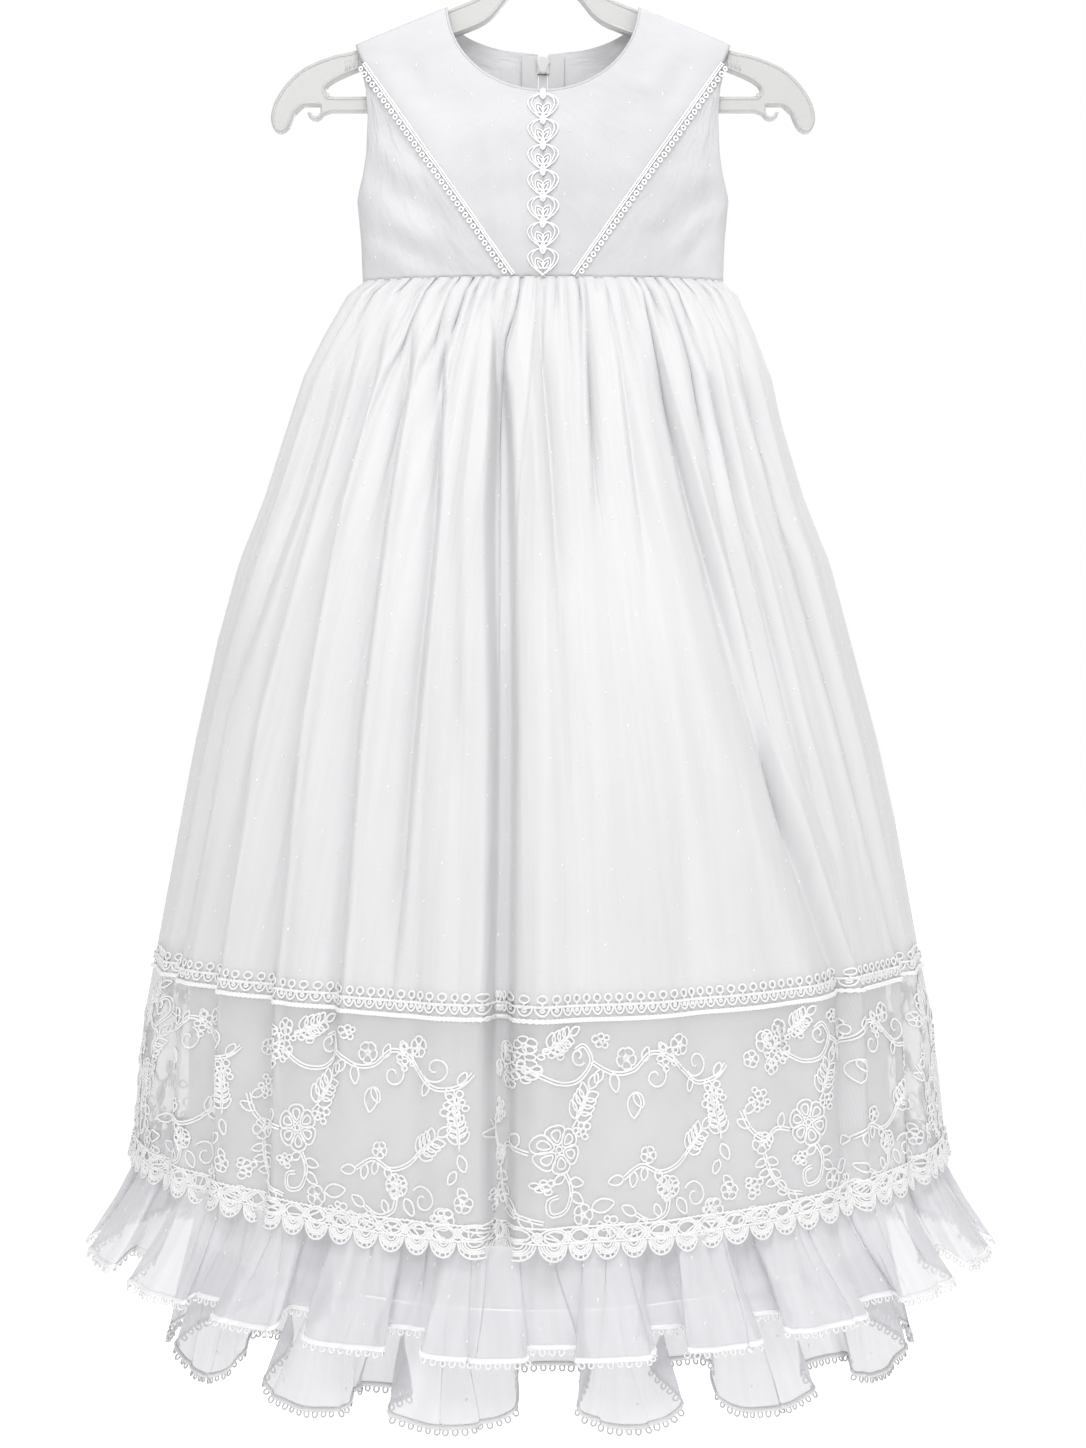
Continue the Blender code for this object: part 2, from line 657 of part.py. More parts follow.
def main():
    for item in list(bpy.data.objects):
        bpy.data.objects.remove(item, do_unlink=True)
    for name in (GOWN, "cutters"):
        bpy.context.scene.collection.children.link(bpy.data.collections.new(name))
    organza = finish("organza", (0.93, 0.93, 0.94), 0.6)
    satin = finish("bodice_cotton", (0.94, 0.94, 0.95), 0.7)
    lining = finish("lining", (0.88, 0.88, 0.89), 0.75)
    tulle = finish("tulle", (0.86, 0.87, 0.88), 0.8)
    lace = finish("lace_thread", (0.96, 0.96, 0.96), 0.65)
    binding = finish("satin_binding", (0.95, 0.95, 0.96), 0.35)
    plastic = finish("hanger_plastic", (0.84, 0.84, 0.82), 0.35)
    nylon = finish("zip_nylon", (0.90, 0.90, 0.90), 0.45)
    make_hanger(plastic)
    make_bodice(satin, lace)
    make_skirt(organza, lining, tulle, lace)
    upper = (-802.4, -812.0, -832.0, -856.0)
    make_ruffle("ruffle_upper", UPPER_RUFFLE, upper, UPPER_SPANS, UPPER_WAVES, organza, binding)
    lower = (-850.4, -880.0, -919.0)
    make_ruffle("ruffle_lower", LOWER_RUFFLE, lower, LOWER_SPANS, LOWER_WAVES, organza, binding)
    make_zip(lining, nylon)


main()
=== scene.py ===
"""A christening gown of white organza and lace on a moulded hanger, for a studio picture.

The gown's solids give every place and size here. Each cloth panel is remade as
a thin shell on its solid's form, with its gathers and creases, and the lace,
cords, dots, picots and zip teeth are laid on those shells. Sizes are in
millimetres and are turned into metres where a mesh is made.
"""

import math
from itertools import product

import bpy
import numpy as np
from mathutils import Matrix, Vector


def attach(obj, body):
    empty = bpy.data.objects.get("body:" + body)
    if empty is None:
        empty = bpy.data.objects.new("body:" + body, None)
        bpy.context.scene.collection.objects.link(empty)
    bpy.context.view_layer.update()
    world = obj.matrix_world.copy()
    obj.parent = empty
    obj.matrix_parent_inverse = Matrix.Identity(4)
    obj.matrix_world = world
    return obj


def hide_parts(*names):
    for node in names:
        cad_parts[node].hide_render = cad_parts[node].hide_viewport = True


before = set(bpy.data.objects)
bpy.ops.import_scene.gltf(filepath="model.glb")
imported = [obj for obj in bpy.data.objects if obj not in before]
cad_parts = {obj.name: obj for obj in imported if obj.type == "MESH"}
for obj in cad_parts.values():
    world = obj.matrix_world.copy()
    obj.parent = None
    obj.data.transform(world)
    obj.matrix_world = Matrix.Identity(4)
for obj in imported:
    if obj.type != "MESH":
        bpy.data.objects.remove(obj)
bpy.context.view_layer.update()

MM = 0.001
FRONT, BACK = -1, 1
SIDES = (("front", FRONT), ("back", BACK))
HANDS = (("l", 1), ("r", -1))
SEAM = 0.4

# Bodice
WAIST = -268.5
FOOT = WAIST + SEAM / 2
NECK_HALF_WIDTH, NECK_TOP = 59.5, -98.0
FRONT_NECK_DROP, BACK_NECK_DROP = 54.5, 26.0
FRONT_NECK_ANGLES = (0.0, 1.3, 4.3, 16.0, 33.0, 52.0, 72.0, 90.0)
BACK_NECK_ANGLES = (0.0, 2.7, 9.0, 38.0, 66.0)
FRONT_CENTRE_HEIGHTS = (-176.0, -205.0, -236.0, FOOT)
BACK_CENTRE_HEIGHTS = (-124.0, -146.0, -168.0, -193.0, -218.0, FOOT)
SHOULDER_TIP_X, SHOULDER_TIP_Z = 116.0, -121.2
SHOULDER_TURN = 4.0
SHOULDER_FALLS = (0.0, 1.2, 4.0)
V_TOP_X, V_TOP_Z, V_FOOT_X = 112.8, -132.0, 17.5
V_HEIGHTS = (-135.0, -149.4, -166.0, -183.0, -200.0, -218.0, -234.0, -251.0, FOOT)
BACK_HEIGHTS = (-137.0, -155.0, -175.0, -195.0, -207.0, -218.0, -243.0, FOOT)
CENTRE_SPANS = 34
WALL, BINDING_WALL = 0.9, 1.2
ZIP_GAP = 3.2
LACE_TOP, LACE_FOOT, MEDALLIONS = -155.0, -266.5, 7

# Skirt and ruffles
BAND_TOP, BAND_SEAM, BAND_FOOT = -679.0, -690.0, -801.7
BAND_HEIGHTS = np.linspace(BAND_SEAM, BAND_FOOT, 26)
SKIRT_PLACES = np.linspace(0, 1, 421)
CORD, SCALLOP_TOP = -691.0, -792.0
REPEAT, REPEATS = 149.0, 4.5
GATHERS, FOLDS, LOWER_WAVES = 50, 11, 7
UPPER_HEM, LOWER_HEM = -856.0, -919.0
BINDING = 2.4
CREASE_GROWTH, CREASE_FADE = 70.0, 90.0
SKIRT_SIDE_FADE, RUFFLE_SIDE_FADE = 16.0, 14.0
RUFFLE_ROWS = 22
PICOT_PITCH, PICOT_RADIUS = 5.3, 1.75
DOT_PITCH, DOT_ROW = 24.2, 19.5

# Radius of each thread, and how many sides it has
LACE_YARN, BRAID_YARN, CORD_YARN, PICOT_YARN = (0.66, 3), (0.72, 3), (0.85, 5), (0.62, 3)
CHAIN_YARN, NECK_ROLL, HANGER_RIM = (0.43, 5), (0.85, 6), (0.8, 6)
TWISTED_RADIUS, RING_RADIUS = 0.34, 0.6
HANGER_FACE = 3.75


class Profile:
    """Sizes listed from the top of a piece to its foot, and read between its rows."""

    def __init__(self, columns, rows):
        self.columns = {name: [row[place] for row in rows] for place, name in enumerate(columns)}
        self.drops = [-height for height in self.columns["height"]]

    def at(self, name, height):
        return np.interp(-np.asarray(height, float), self.drops, self.columns[name])


SKIRT = Profile(
    ("height", "half_width", "sway", "depth", "dip", "fold"),
    (
        (-268.5, 111.6, 0, 20, 0, 0),
        (-276.5, 120.9, -0.5, 24, 0.2, 0.3),
        (-300.7, 133.3, -2, 36, 1, 1.2),
        (-327.4, 145, -3.5, 50, 2, 2.2),
        (-353.4, 152, -5, 62, 3, 3),
        (-403, 167.4, -5.5, 85, 5, 4),
        (-442, 183, -5.3, 102, 6.5, 4.6),
        (-490.4, 196, -5.5, 121, 8, 5.2),
        (-553, 211.4, -4, 143, 10, 5.8),
        (-601.4, 221.3, -3.2, 157, 12, 6),
        (-679, 235.5, -3.5, 174, 15, 5),
        (-721, 243.5, -3.2, 181, 19, 4.6),
        (-759.5, 248, -2.8, 186, 23.5, 4.3),
        (-801.7, 251.7, -2.2, 190, 28, 4),
        (-812, 252.6, -2.2, 191, 29, 4),
    ),
)

UNDERSKIRT = Profile(
    ("height", "half_width", "sway", "depth", "dip"),
    (
        (-269.2, 108.8, 0, 15.6, 0),
        (-300.7, 126, -2, 26, 1),
        (-353.4, 141.5, -5, 49, 3),
        (-442, 168, -5.3, 86, 6.5),
        (-553, 193, -4, 124, 10),
        (-679, 215, -3.5, 152, 15),
        (-801.7, 218, -2.2, 158, 21),
        (-850, 214.5, -2, 157, 22),
    ),
)

UPPER_RUFFLE = Profile(
    ("height", "half_width", "sway", "depth", "dip", "wave", "rise"),
    (
        (-802.2, 249.4, -2.2, 187.7, 28, 4, 0),
        (-812, 250.6, -2.1, 189, 29, 4.2, 0),
        (-832, 261, -2, 199, 30, 7, 2.5),
        (-856, 276, -2, 213, 31, 9.5, 5),
        (-859, 277.5, -2, 214.3, 31, 9.8, 5),
    ),
)

LOWER_RUFFLE = Profile(
    ("height", "half_width", "sway", "depth", "dip", "wave", "rise"),
    (
        (-850.4, 214.5, -2, 157, 22, 0.6, 0),
        (-880, 220, -2, 170, 16.5, 7.5, 4),
        (-919, 228, -2, 186, 12, 13.5, 9.5),
        (-922, 228.8, -2, 187, 12, 13.8, 9.5),
    ),
)

BODICE = Profile(
    ("height", "half_width", "edge_depth"),
    (
        (-121.2, 116, 6.6),
        (-131.4, 113.5, 6.6),
        (-149.4, 109.5, 6.6),
        (-167.4, 108.2, 6.6),
        (-189.7, 109.1, 6.6),
        (-203, 111.3, 5.2),
        (-213, 114, 2.2),
        (-218, 115, 0.2),
        (-243, 112.6, 0.2),
        (-268.5, 111.6, 0.2),
    ),
)

CHEST = {
    FRONT: Profile(
        ("height", "depth"),
        (
            (-98, 8), (-125, 11.5), (-152.5, 15), (-176, 18),
            (-205, 20), (-236, 20.6), (-268.5, 20),
        ),
    ),
    BACK: Profile(
        ("height", "depth"),
        ((-98, 8), (-122, 12), (-168, 12), (-218, 17), (-268.5, 20)),
    ),
}

# The skirt's main creases: where each lies across the gown at four heights,
# where it starts and ends, how deep it is, how wide each flank, and how flat its floor.
CREASE_HEIGHTS = (-290, -410, -535, -690)
CREASE_COLUMNS = ("line", "start", "end", "depth", "left", "right", "flat")
FRONT_CREASES = (
    ((-27, -27, -24, -26), -280, -860, 20, 10, 14, 14),
    ((-61, -65, -77, -88), -276, -700, 8.75, 15, 4.5, 2),
    ((-77, -97, -112, -121), -276, -760, 8.75, 17, 5, 2),
    ((-95, -128, -149, -161), -280, -840, 10, 19, 5.5, 2),
    ((-110, -146, -176, -196), -284, -840, 8.125, 16, 6, 2),
    ((-120, -158, -198, -225), -300, -840, 7.5, 10, 9, 2),
    ((-2, 6, 11, 14), -274, -500, 5.625, 7, 9, 2),
    ((27, 32, 36, 40), -274, -440, 6.25, 3.5, 6, 2),
    ((44, 58, 70, 84), -274, -470, 5, 4, 12, 2),
    ((62, 92, 128, 181), -276, -840, 11.25, 19, 5.5, 2),
    ((84, 108, 136, 165), -276, -640, 6.875, 8, 8, 2),
    ((97, 122, 152, 196), -280, -640, 7.5, 12, 5, 2),
    ((116, 148, 183, 221), -290, -840, 9.375, 9, 10, 2),
    ((30, 62, 78, 88), -560, -840, 4.375, 18, 26, 2),
    ((-50, -52, -54, -56), -500, -840, -3.75, 12, 9, 2),
    ((-8, -6, -3, -2), -420, -840, -4.375, 7, 18, 2),
)
BACK_CREASES = (
    ((-8, -6, -2, 4), -284, -840, 15, 10, 13, 6),
    ((-40, -52, -66, -80), -276, -700, 8.125, 9, 8, 2),
    ((-64, -84, -104, -128), -276, -840, 10, 12, 10, 2),
    ((-88, -118, -146, -170), -280, -780, 8.75, 11, 9, 2),
    ((-108, -146, -180, -206), -284, -840, 8.75, 10, 10, 2),
    ((18, 24, 30, 36), -274, -470, 5.625, 6, 7, 2),
    ((38, 52, 66, 78), -274, -840, 9.375, 10, 12, 2),
    ((66, 92, 116, 138), -276, -640, 7.5, 8, 9, 2),
    ((84, 116, 148, 176), -276, -840, 10, 12, 12, 2),
    ((110, 146, 180, 214), -286, -840, 8.75, 10, 9, 2),
    ((-20, -24, -28, -30), -430, -840, -4.375, 10, 14, 2),
)

# Soft wrinkles of the bodice: both ends, depth and half width.
WRINKLES = {
    FRONT: (
        ((-110, -196), (-58, -240), 2.4, 9),
        ((-102, -166), (-70, -204), 1.6, 8),
        ((-108, -234), (-60, -264), 1.76, 7),
        ((-64, -140), (-24, -232), 1.2, 12),
        ((-92, -122), (-66, -170), 1.28, 8),
        ((-22, -176), (-12, -262), 1.28, 7),
        ((114, -206), (66, -250), 2.4, 8),
        ((100, -160), (74, -206), 1.76, 7),
        ((110, -228), (84, -262), 1.92, 5),
        ((62, -146), (26, -228), 1.2, 11),
        ((94, -124), (72, -166), 1.2, 7),
        ((22, -170), (14, -262), 1.28, 7),
        ((-50, -208), (-30, -250), 0.8, 6),
        ((48, -200), (34, -244), 0.8, 6),
    ),
    BACK: (
        ((-104, -196), (-40, -234), 2.08, 9),
        ((-98, -236), (-30, -258), 1.6, 7),
        ((-86, -140), (-50, -178), 1.36, 9),
        ((106, -198), (44, -238), 2.08, 9),
        ((100, -242), (34, -260), 1.6, 7),
        ((84, -142), (54, -174), 1.36, 9),
    ),
}


def unit(vectors):
    """Vectors that point the same way and are one long."""
    return vectors / np.maximum(np.linalg.norm(vectors, axis=-1, keepdims=True), 1e-9)


def run_of(points):
    """The length of a line up to each of its points."""
    return np.concatenate(([0.0], np.cumsum(np.linalg.norm(np.diff(points, axis=0), axis=-1))))


def arc(x, y, across, down, angles):
    """Points of an ellipse round a centre, at some angles in radians."""
    return np.stack((x + across * np.cos(angles), y + down * np.sin(angles)), axis=1)


def even_angles(half_width, depth, places):
    """Angles that divide half an ellipse by shares of its length, and that length."""
    angles = np.linspace(0.0, math.pi, 721)
    steps = np.hypot(np.diff(half_width * np.cos(angles)), np.diff(depth * np.sin(angles)))
    lengths = np.concatenate(([0.0], np.cumsum(steps)))
    return np.interp(places * lengths[-1], lengths, angles), angles, lengths


def hanging(profile, side, heights, places, moved):
    """A grid of points round the front or back, each moved in, along and up."""
    rows = []
    for height in heights:
        half_width, depth = profile.at("half_width", height), profile.at("depth", height)
        angle, angles, lengths = even_angles(half_width, depth, places)
        across, out = np.cos(angle), np.sin(angle)
        facing = np.stack((depth * across, half_width * out))
        facing /= np.hypot(*facing)
        along = np.stack((-facing[1], facing[0]))

        def place_of(x):
            """The share along the row of a place across the gown."""
            share = np.clip(side * (x - profile.at("sway", height)) / half_width, -1, 1)
            return np.interp(math.acos(share), angles, lengths) / lengths[-1]

        inward, slide, up = moved(places, height, lengths[-1], place_of)
        x = half_width * across - facing[0] * inward + along[0] * slide
        y = depth * out - facing[1] * inward + along[1] * slide
        z = height - profile.at("dip", height) * out * out + up
        y = np.maximum(y, 0.0) + SEAM / 2
        rows.append(np.stack((side * x + profile.at("sway", height), side * y, z), axis=-1))
    return np.array(rows)


def ease(share):
    """A smooth step from 0 to 1."""
    share = np.clip(share, 0.0, 1.0)
    return share * share * (3 - 2 * share)


def unevenness(places, count):
    """How deep each fold is against the others."""
    number = np.minimum((places * count).astype(int), count - 1)
    return 0.8 + 0.3 * np.sin(2.1 * number + 0.6)


def gather_table(seed, count):
    """Place, depth, length and width of each small gather at the waist."""
    chance = np.random.RandomState(seed)
    place = (np.arange(count) + 0.5 + chance.uniform(-0.55, 0.55, count)) / count
    depth = chance.uniform(1.8, 7.4, count)
    length = 12 + 230 * chance.uniform(0, 1, count) ** 2.2
    width = chance.uniform(1.3, 2.5, count)
    return np.stack((place, depth, length, width), axis=1)


GATHER_TABLES = {FRONT: gather_table(11, GATHERS), BACK: gather_table(12, GATHERS)}
CREASES = {FRONT: FRONT_CREASES, BACK: BACK_CREASES}


def skirt_moved(side):
    """How the skirt and the lace band are creased, for each place and height."""
    creases = [dict(zip(CREASE_COLUMNS, row)) for row in CREASES[side]]

    def moved(places, height, length, place_of):
        inward = SKIRT.at("fold", height) * 0.9 * np.ones_like(places)
        slide = np.zeros_like(places)
        for crease in creases:
            grown = ease((crease["start"] - height) / CREASE_GROWTH)
            grown *= ease((height - crease["end"]) / CREASE_FADE)
            if grown == 0:
                continue
            x = np.interp(-height, [-h for h in CREASE_HEIGHTS], crease["line"])
            reach = (places - place_of(x)) * length
            over, widen = 0.3, 0.5 + 0.3 * ease((-height - 280) / 260.0)
            if crease["flat"] > 2:
                over, widen = 0.42, 0.5 + 0.5 * ease((-height - 280) / 140.0)
            left, right = crease["left"] * widen, crease["right"] * widen
            if side == BACK:
                left, right = right, left
            share = np.abs(reach / np.where(reach < 0, left, right))
            deep = crease["depth"] * grown
            inward += deep * (np.exp(-(share ** crease["flat"])) - 0.2 * np.exp(-(((share - 1.9) / 0.6) ** 2)))
            for flank, way in ((left, 1), (right, -1)):
                lean = np.exp(-(((reach + way * 0.8 * flank) / (0.6 * flank)) ** 2))
                slide += way * over * min(deep, 0.9 * flank) * lean
        drop = WAIST - height
        for place, depth, long, width in GATHER_TABLES[side]:
            if drop > long:
                continue
            grown = (0.4 + 0.6 * ease(drop / 9.0)) * (1 - ease(drop / long))
            reach = (places - place) * length / (width + 0.035 * drop)
            inward += depth * grown * (np.exp(-(reach**2)) - 0.45 * np.exp(-((reach / 2.2) ** 2)))
            slide += 0.3 * depth * grown * (np.exp(-((reach + 1) ** 2)) - np.exp(-((reach - 1) ** 2)))
        ends = ease(np.minimum(places, 1 - places) * length / SKIRT_SIDE_FADE)
        return inward * ends, slide * ends, 0.0

    return moved


# Lean and swell of each flute of the ruffles, as a share of its own size.
UPPER_LEANS = {
    FRONT: (0.2, -0.5, 0.6, 0.9, -0.7, 0.8, -0.8, 0.6, 0.9, -0.6, 0.3),
    BACK: (-0.3, 0.6, -0.8, 0.5, 0.9, -0.6, 0.7, -0.8, 0.4, 0.6, -0.2),
}
LOWER_LEANS = {
    FRONT: (0.3, -0.7, 0.8, 0.6, -0.8, 0.7, -0.3),
    BACK: (-0.4, 0.6, -0.7, 0.8, -0.5, 0.7, 0.3),
}


def ruffle_moved(profile, waves, leans, lean, lifted, arched, seed):
    """How a ruffle stands out in flutes, with small gathers under its seam."""
    top, *_, hem = profile.columns["height"]
    chance = np.random.RandomState(seed)

    def scattered(count, stray):
        """Places along the seam, each a little off its even one."""
        return (np.arange(count) + 0.5 + chance.uniform(-stray, stray, count)) / count

    count, pleats = waves * 9, waves * 4
    fine = scattered(count, 0.4)
    fine_depth = chance.uniform(0.5, 1.5, count)
    fine_long = chance.uniform(18, 60, count)
    pleat = scattered(pleats, 0.42)
    pleat_slide = chance.choice((-1.0, 1.0), pleats) * chance.uniform(2.4, 5.2, pleats)
    pleat_slant = chance.uniform(-0.12, 0.12, pleats)

    def moved(places, height, length, place_of):
        wave, rise = profile.at("wave", height), profile.at("rise", height)
        along = places + 0.011 * np.sin(math.tau * 3.0 * places + seed) * np.sin(math.pi * places)
        phase = along * waves % 1.0
        half = np.minimum(phase, 1 - phase)
        valley = ease((half - 0.22) / 0.2)
        uneven = 2 * unevenness(along, waves)
        inward = wave * uneven * valley
        arch = arched * (1 - np.cos(math.tau * phase)) / 2 + (1 - arched) * valley
        down = ease((top - height) / (top - hem))
        number = np.minimum((along * waves).astype(int), waves - 1)
        curl = np.where(
            half < 0.22,
            np.sin(math.pi / 2 * half / 0.22),
            np.where(half < 0.42, np.cos(math.pi * (half - 0.22) / 0.2), -np.sin(math.pi * (0.5 - half) / 0.16)),
        ) * np.where(phase < 0.5, 1.0, -1.0)
        slide = down * (lean * wave * np.array(leans)[number] * valley + 0.11 * length / waves * curl)
        drop = top - height
        for place, depth, long in zip(fine, fine_depth, fine_long):
            grown = (1 - ease(drop / long)) * (0.35 + 0.65 * ease(drop / 6.0))
            reach = (places - place) * length / (1.8 + 0.03 * drop)
            inward = inward + depth * grown * np.exp(-(reach**2))
        for place, over, slant in zip(pleat, pleat_slide, pleat_slant):
            reach = ((places - place) * length + slant * drop) / 2.3
            folded = np.exp(-(reach**2)) * ease(drop / 9.0)
            slide = slide + over * folded
            inward = inward + 1.6 * np.sign(over) * reach * folded
        for height_of, many, start in ((0.8, 3.3, seed), (0.6, 5.7, 2.0 * seed)):
            inward = inward + height_of * down * np.sin(math.tau * waves * many * places + start)
        ends = ease(np.minimum(places, 1 - places) * length / RUFFLE_SIDE_FADE)
        return inward * ends, slide * ends, lifted * rise * uneven * arch

    return moved


def shoulder_seam(x):
    """Height of the shoulder seam above a place across the gown."""
    slope = (SHOULDER_TIP_Z - NECK_TOP) / (SHOULDER_TIP_X - NECK_HALF_WIDTH)
    return NECK_TOP + slope * (np.abs(x) - NECK_HALF_WIDTH)


def bodice_points(side, x, z):
    """Points of the bodice's outer face, with its wrinkles."""
    x, z = np.broadcast_arrays(np.asarray(x, float), np.asarray(z, float))
    edge, chest = BODICE.at("edge_depth", z), CHEST[side].at("depth", z)
    share = np.minimum(1.0, np.abs(x) / BODICE.at("half_width", z))
    full = edge + (chest - edge) * np.sqrt(1.0 - share * share)
    below = np.clip((shoulder_seam(x) - z) / SHOULDER_TURN, 0.0, 1.0)
    turned = 1.0 - (1.0 - below) ** 3.5
    sunk = 0.0
    for start, end, depth, width in WRINKLES[side]:
        run = np.array(end, float) - start
        long = np.hypot(*run)
        run /= long
        along = (x - start[0]) * run[0] + (z - start[1]) * run[1]
        off = (x - start[0]) * run[1] - (z - start[1]) * run[0]
        fade = ease(along / 14.0) * ease((long - along) / 14.0)
        swell = 0.6 * np.exp(-(((off - 1.7 * width) / width) ** 2))
        sunk = sunk + depth * fade * (np.exp(-((off / width) ** 2)) - swell)
    settled = ease((BODICE.at("half_width", z) - np.abs(x)) / 8.0) * ease((z - WAIST) / 5.0)
    y = SEAM / 2 + (full - SEAM / 2) * turned - sunk * settled * turned
    return np.stack((x, side * y, z), axis=-1)


def bodice_lift(side, x, z):
    """Points of the bodice and the way it faces there."""
    near = bodice_points(side, x + 0.5, z) - bodice_points(side, x - 0.5, z)
    fall = bodice_points(side, x, z - 0.5) - bodice_points(side, x, z + 0.5)
    return bodice_points(side, x, z), unit(np.cross(fall, near) * -side)


def v_line(z):
    """Where the slanting seam lies across the front at one height."""
    return V_TOP_X + (V_FOOT_X - V_TOP_X) * (V_TOP_Z - z) / (V_TOP_Z - WAIST)


def between_knots(knots, steps):
    """The values between the knots, each span divided into equal steps."""
    places = np.linspace(0, len(knots) - 1, (len(knots) - 1) * steps + 1)
    return np.interp(places, np.arange(len(knots)), knots)


def bridged(first, then, steps):
    """Two lines of points as one, with the gap between them filled."""
    share = np.linspace(0, 1, steps + 1)[1:-1, None]
    return np.vstack((first, first[-1] + (then[0] - first[-1]) * share, then))


def ruled(side, outer, inner, spans, bunching=1.0):
    """A grid from the points of an outer edge to those of an inner one."""
    share = np.linspace(0, 1, spans + 1)[None, :] ** bunching
    x = outer[:, :1] + (inner[:, :1] - outer[:, :1]) * share
    z = outer[:, 1:] + (inner[:, 1:] - outer[:, 1:]) * share
    return bodice_points(side, x, z)


def edge_points(heights, x_of, steps):
    """The armhole end of a panel's edge at the shoulder, then its heights."""
    falls = between_knots(SHOULDER_FALLS, steps)
    z = between_knots(heights, steps)
    start = np.stack((SHOULDER_TIP_X - falls * 0.2, SHOULDER_TIP_Z - falls), axis=1)
    return bridged(start, np.stack((x_of(z), z), axis=1), steps)


def neck_then_centre(angles, drop, centre_heights, x_centre, steps):
    """A panel's inner edge: round the neck, then down the middle."""
    turn = np.radians(between_knots(angles, steps))
    neck = arc(0.0, NECK_TOP, NECK_HALF_WIDTH, -drop, turn)
    neck[:, 0] = np.maximum(neck[:, 0], x_centre)
    z = between_knots(centre_heights, steps)
    return bridged(neck, np.stack((np.full_like(z, x_centre), z), axis=1), steps)


def front_centre_grid(steps=7):
    """The panel between both V seams, with the neck cut out of it."""
    outer = edge_points(V_HEIGHTS, lambda z: v_line(z) - SEAM / 2, steps)
    inner = neck_then_centre(FRONT_NECK_ANGLES, FRONT_NECK_DROP, FRONT_CENTRE_HEIGHTS, 0.0, steps)
    half = ruled(FRONT, outer, inner, CENTRE_SPANS)
    right = bodice_points(FRONT, -half[..., 0], half[..., 2])
    return np.concatenate((right, half[:, ::-1]), axis=1)


def front_side_grid(hand, steps=7):
    """The panel between the V seam and the side, for hand +1 at the wearer's left."""
    z = between_knots(V_HEIGHTS, steps)
    outer = np.stack((hand * BODICE.at("half_width", z), z), axis=1)
    inner = np.stack((hand * (v_line(z) + SEAM / 2), z), axis=1)
    grid = ruled(FRONT, outer, inner, 26, 1.5)
    return grid if hand < 0 else grid[:, ::-1]


def back_grid(hand, steps=7):
    """Half of the back, up to the zip."""
    outer = edge_points(BACK_HEIGHTS, lambda z: BODICE.at("half_width", z), steps)
    inner = neck_then_centre(BACK_NECK_ANGLES, BACK_NECK_DROP, BACK_CENTRE_HEIGHTS, ZIP_GAP, steps)
    grid = ruled(BACK, outer * (hand, 1), inner * (hand, 1), 32, 1.4)
    return grid if hand > 0 else grid[:, ::-1]


class Panel:
    """A grid of points with the way it faces, read between its points."""

    def __init__(self, grid):
        self.grid = grid
        self.facing = unit(np.cross(np.gradient(grid, axis=0), np.gradient(grid, axis=1)))

    def at(self, row, column, lift=0.0):
        """Points and facings at places given as shares of rows and columns."""
        rows, columns = self.grid.shape[:2]
        r = np.clip(np.asarray(row) * (rows - 1), 0, rows - 1.001)
        c = np.clip(np.asarray(column) * (columns - 1), 0, columns - 1.001)
        i, j = r.astype(int), c.astype(int)
        r, c = (r - i)[..., None], (c - j)[..., None]

        def read(table):
            upper = table[i, j] * (1 - c) + table[i, j + 1] * c
            lower = table[i + 1, j] * (1 - c) + table[i + 1, j + 1] * c
            return upper * (1 - r) + lower * r

        facing = unit(read(self.facing))
        return read(self.grid) + facing * lift, facing


def new_piece(name, vertices, faces, material, replaces=None, smooth=True):
    """A named mesh object on the gown, from points in millimetres."""
    mesh = bpy.data.meshes.new(name)
    mesh.from_pydata((np.asarray(vertices) * MM).tolist(), [], faces)
    mesh.materials.append(material)
    mesh.polygons.foreach_set("use_smooth", [smooth] * len(mesh.polygons))
    mesh.update()
    piece = bpy.data.objects.new(name, mesh)
    bpy.context.scene.collection.objects.link(piece)
    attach(piece, "gown")
    if replaces:
        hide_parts(replaces)
    return piece


def grid_faces(rows, columns, parted=None):
    """Faces of a grid, seen from its outer side, with none beside a parted column."""
    spans = [column for column in range(columns - 1) if column != parted]
    i, j = np.meshgrid(np.arange(rows - 1), spans, indexing="ij")
    corner = (i * columns + j).ravel()
    return np.stack((corner, corner + columns, corner + columns + 1, corner + 1), axis=1).tolist()


def cloth_piece(name, grid, material, replaces, thickness=0.0, parted=None):
    """A thin shell on a grid of points, with cloth coordinates in metres."""
    rows, columns = grid.shape[:2]
    piece = new_piece(name, grid.reshape(-1, 3), grid_faces(rows, columns, parted), material, replaces)
    widths = run_of(grid[-1])
    heights = np.concatenate(([0.0], np.cumsum(np.linalg.norm(np.diff(grid, axis=0), axis=2).mean(axis=1))))
    layer = piece.data.uv_layers.new(name="cloth")
    order = np.empty(len(piece.data.loops), int)
    piece.data.loops.foreach_get("vertex_index", order)
    uv = np.stack((widths[order % columns], -heights[order // columns]), axis=1) * MM
    layer.data.foreach_set("uv", uv.ravel())
    if thickness:
        wall = piece.modifiers.new("Wall", "SOLIDIFY")
        wall.thickness = thickness * MM
        wall.offset = -1.0
    return piece


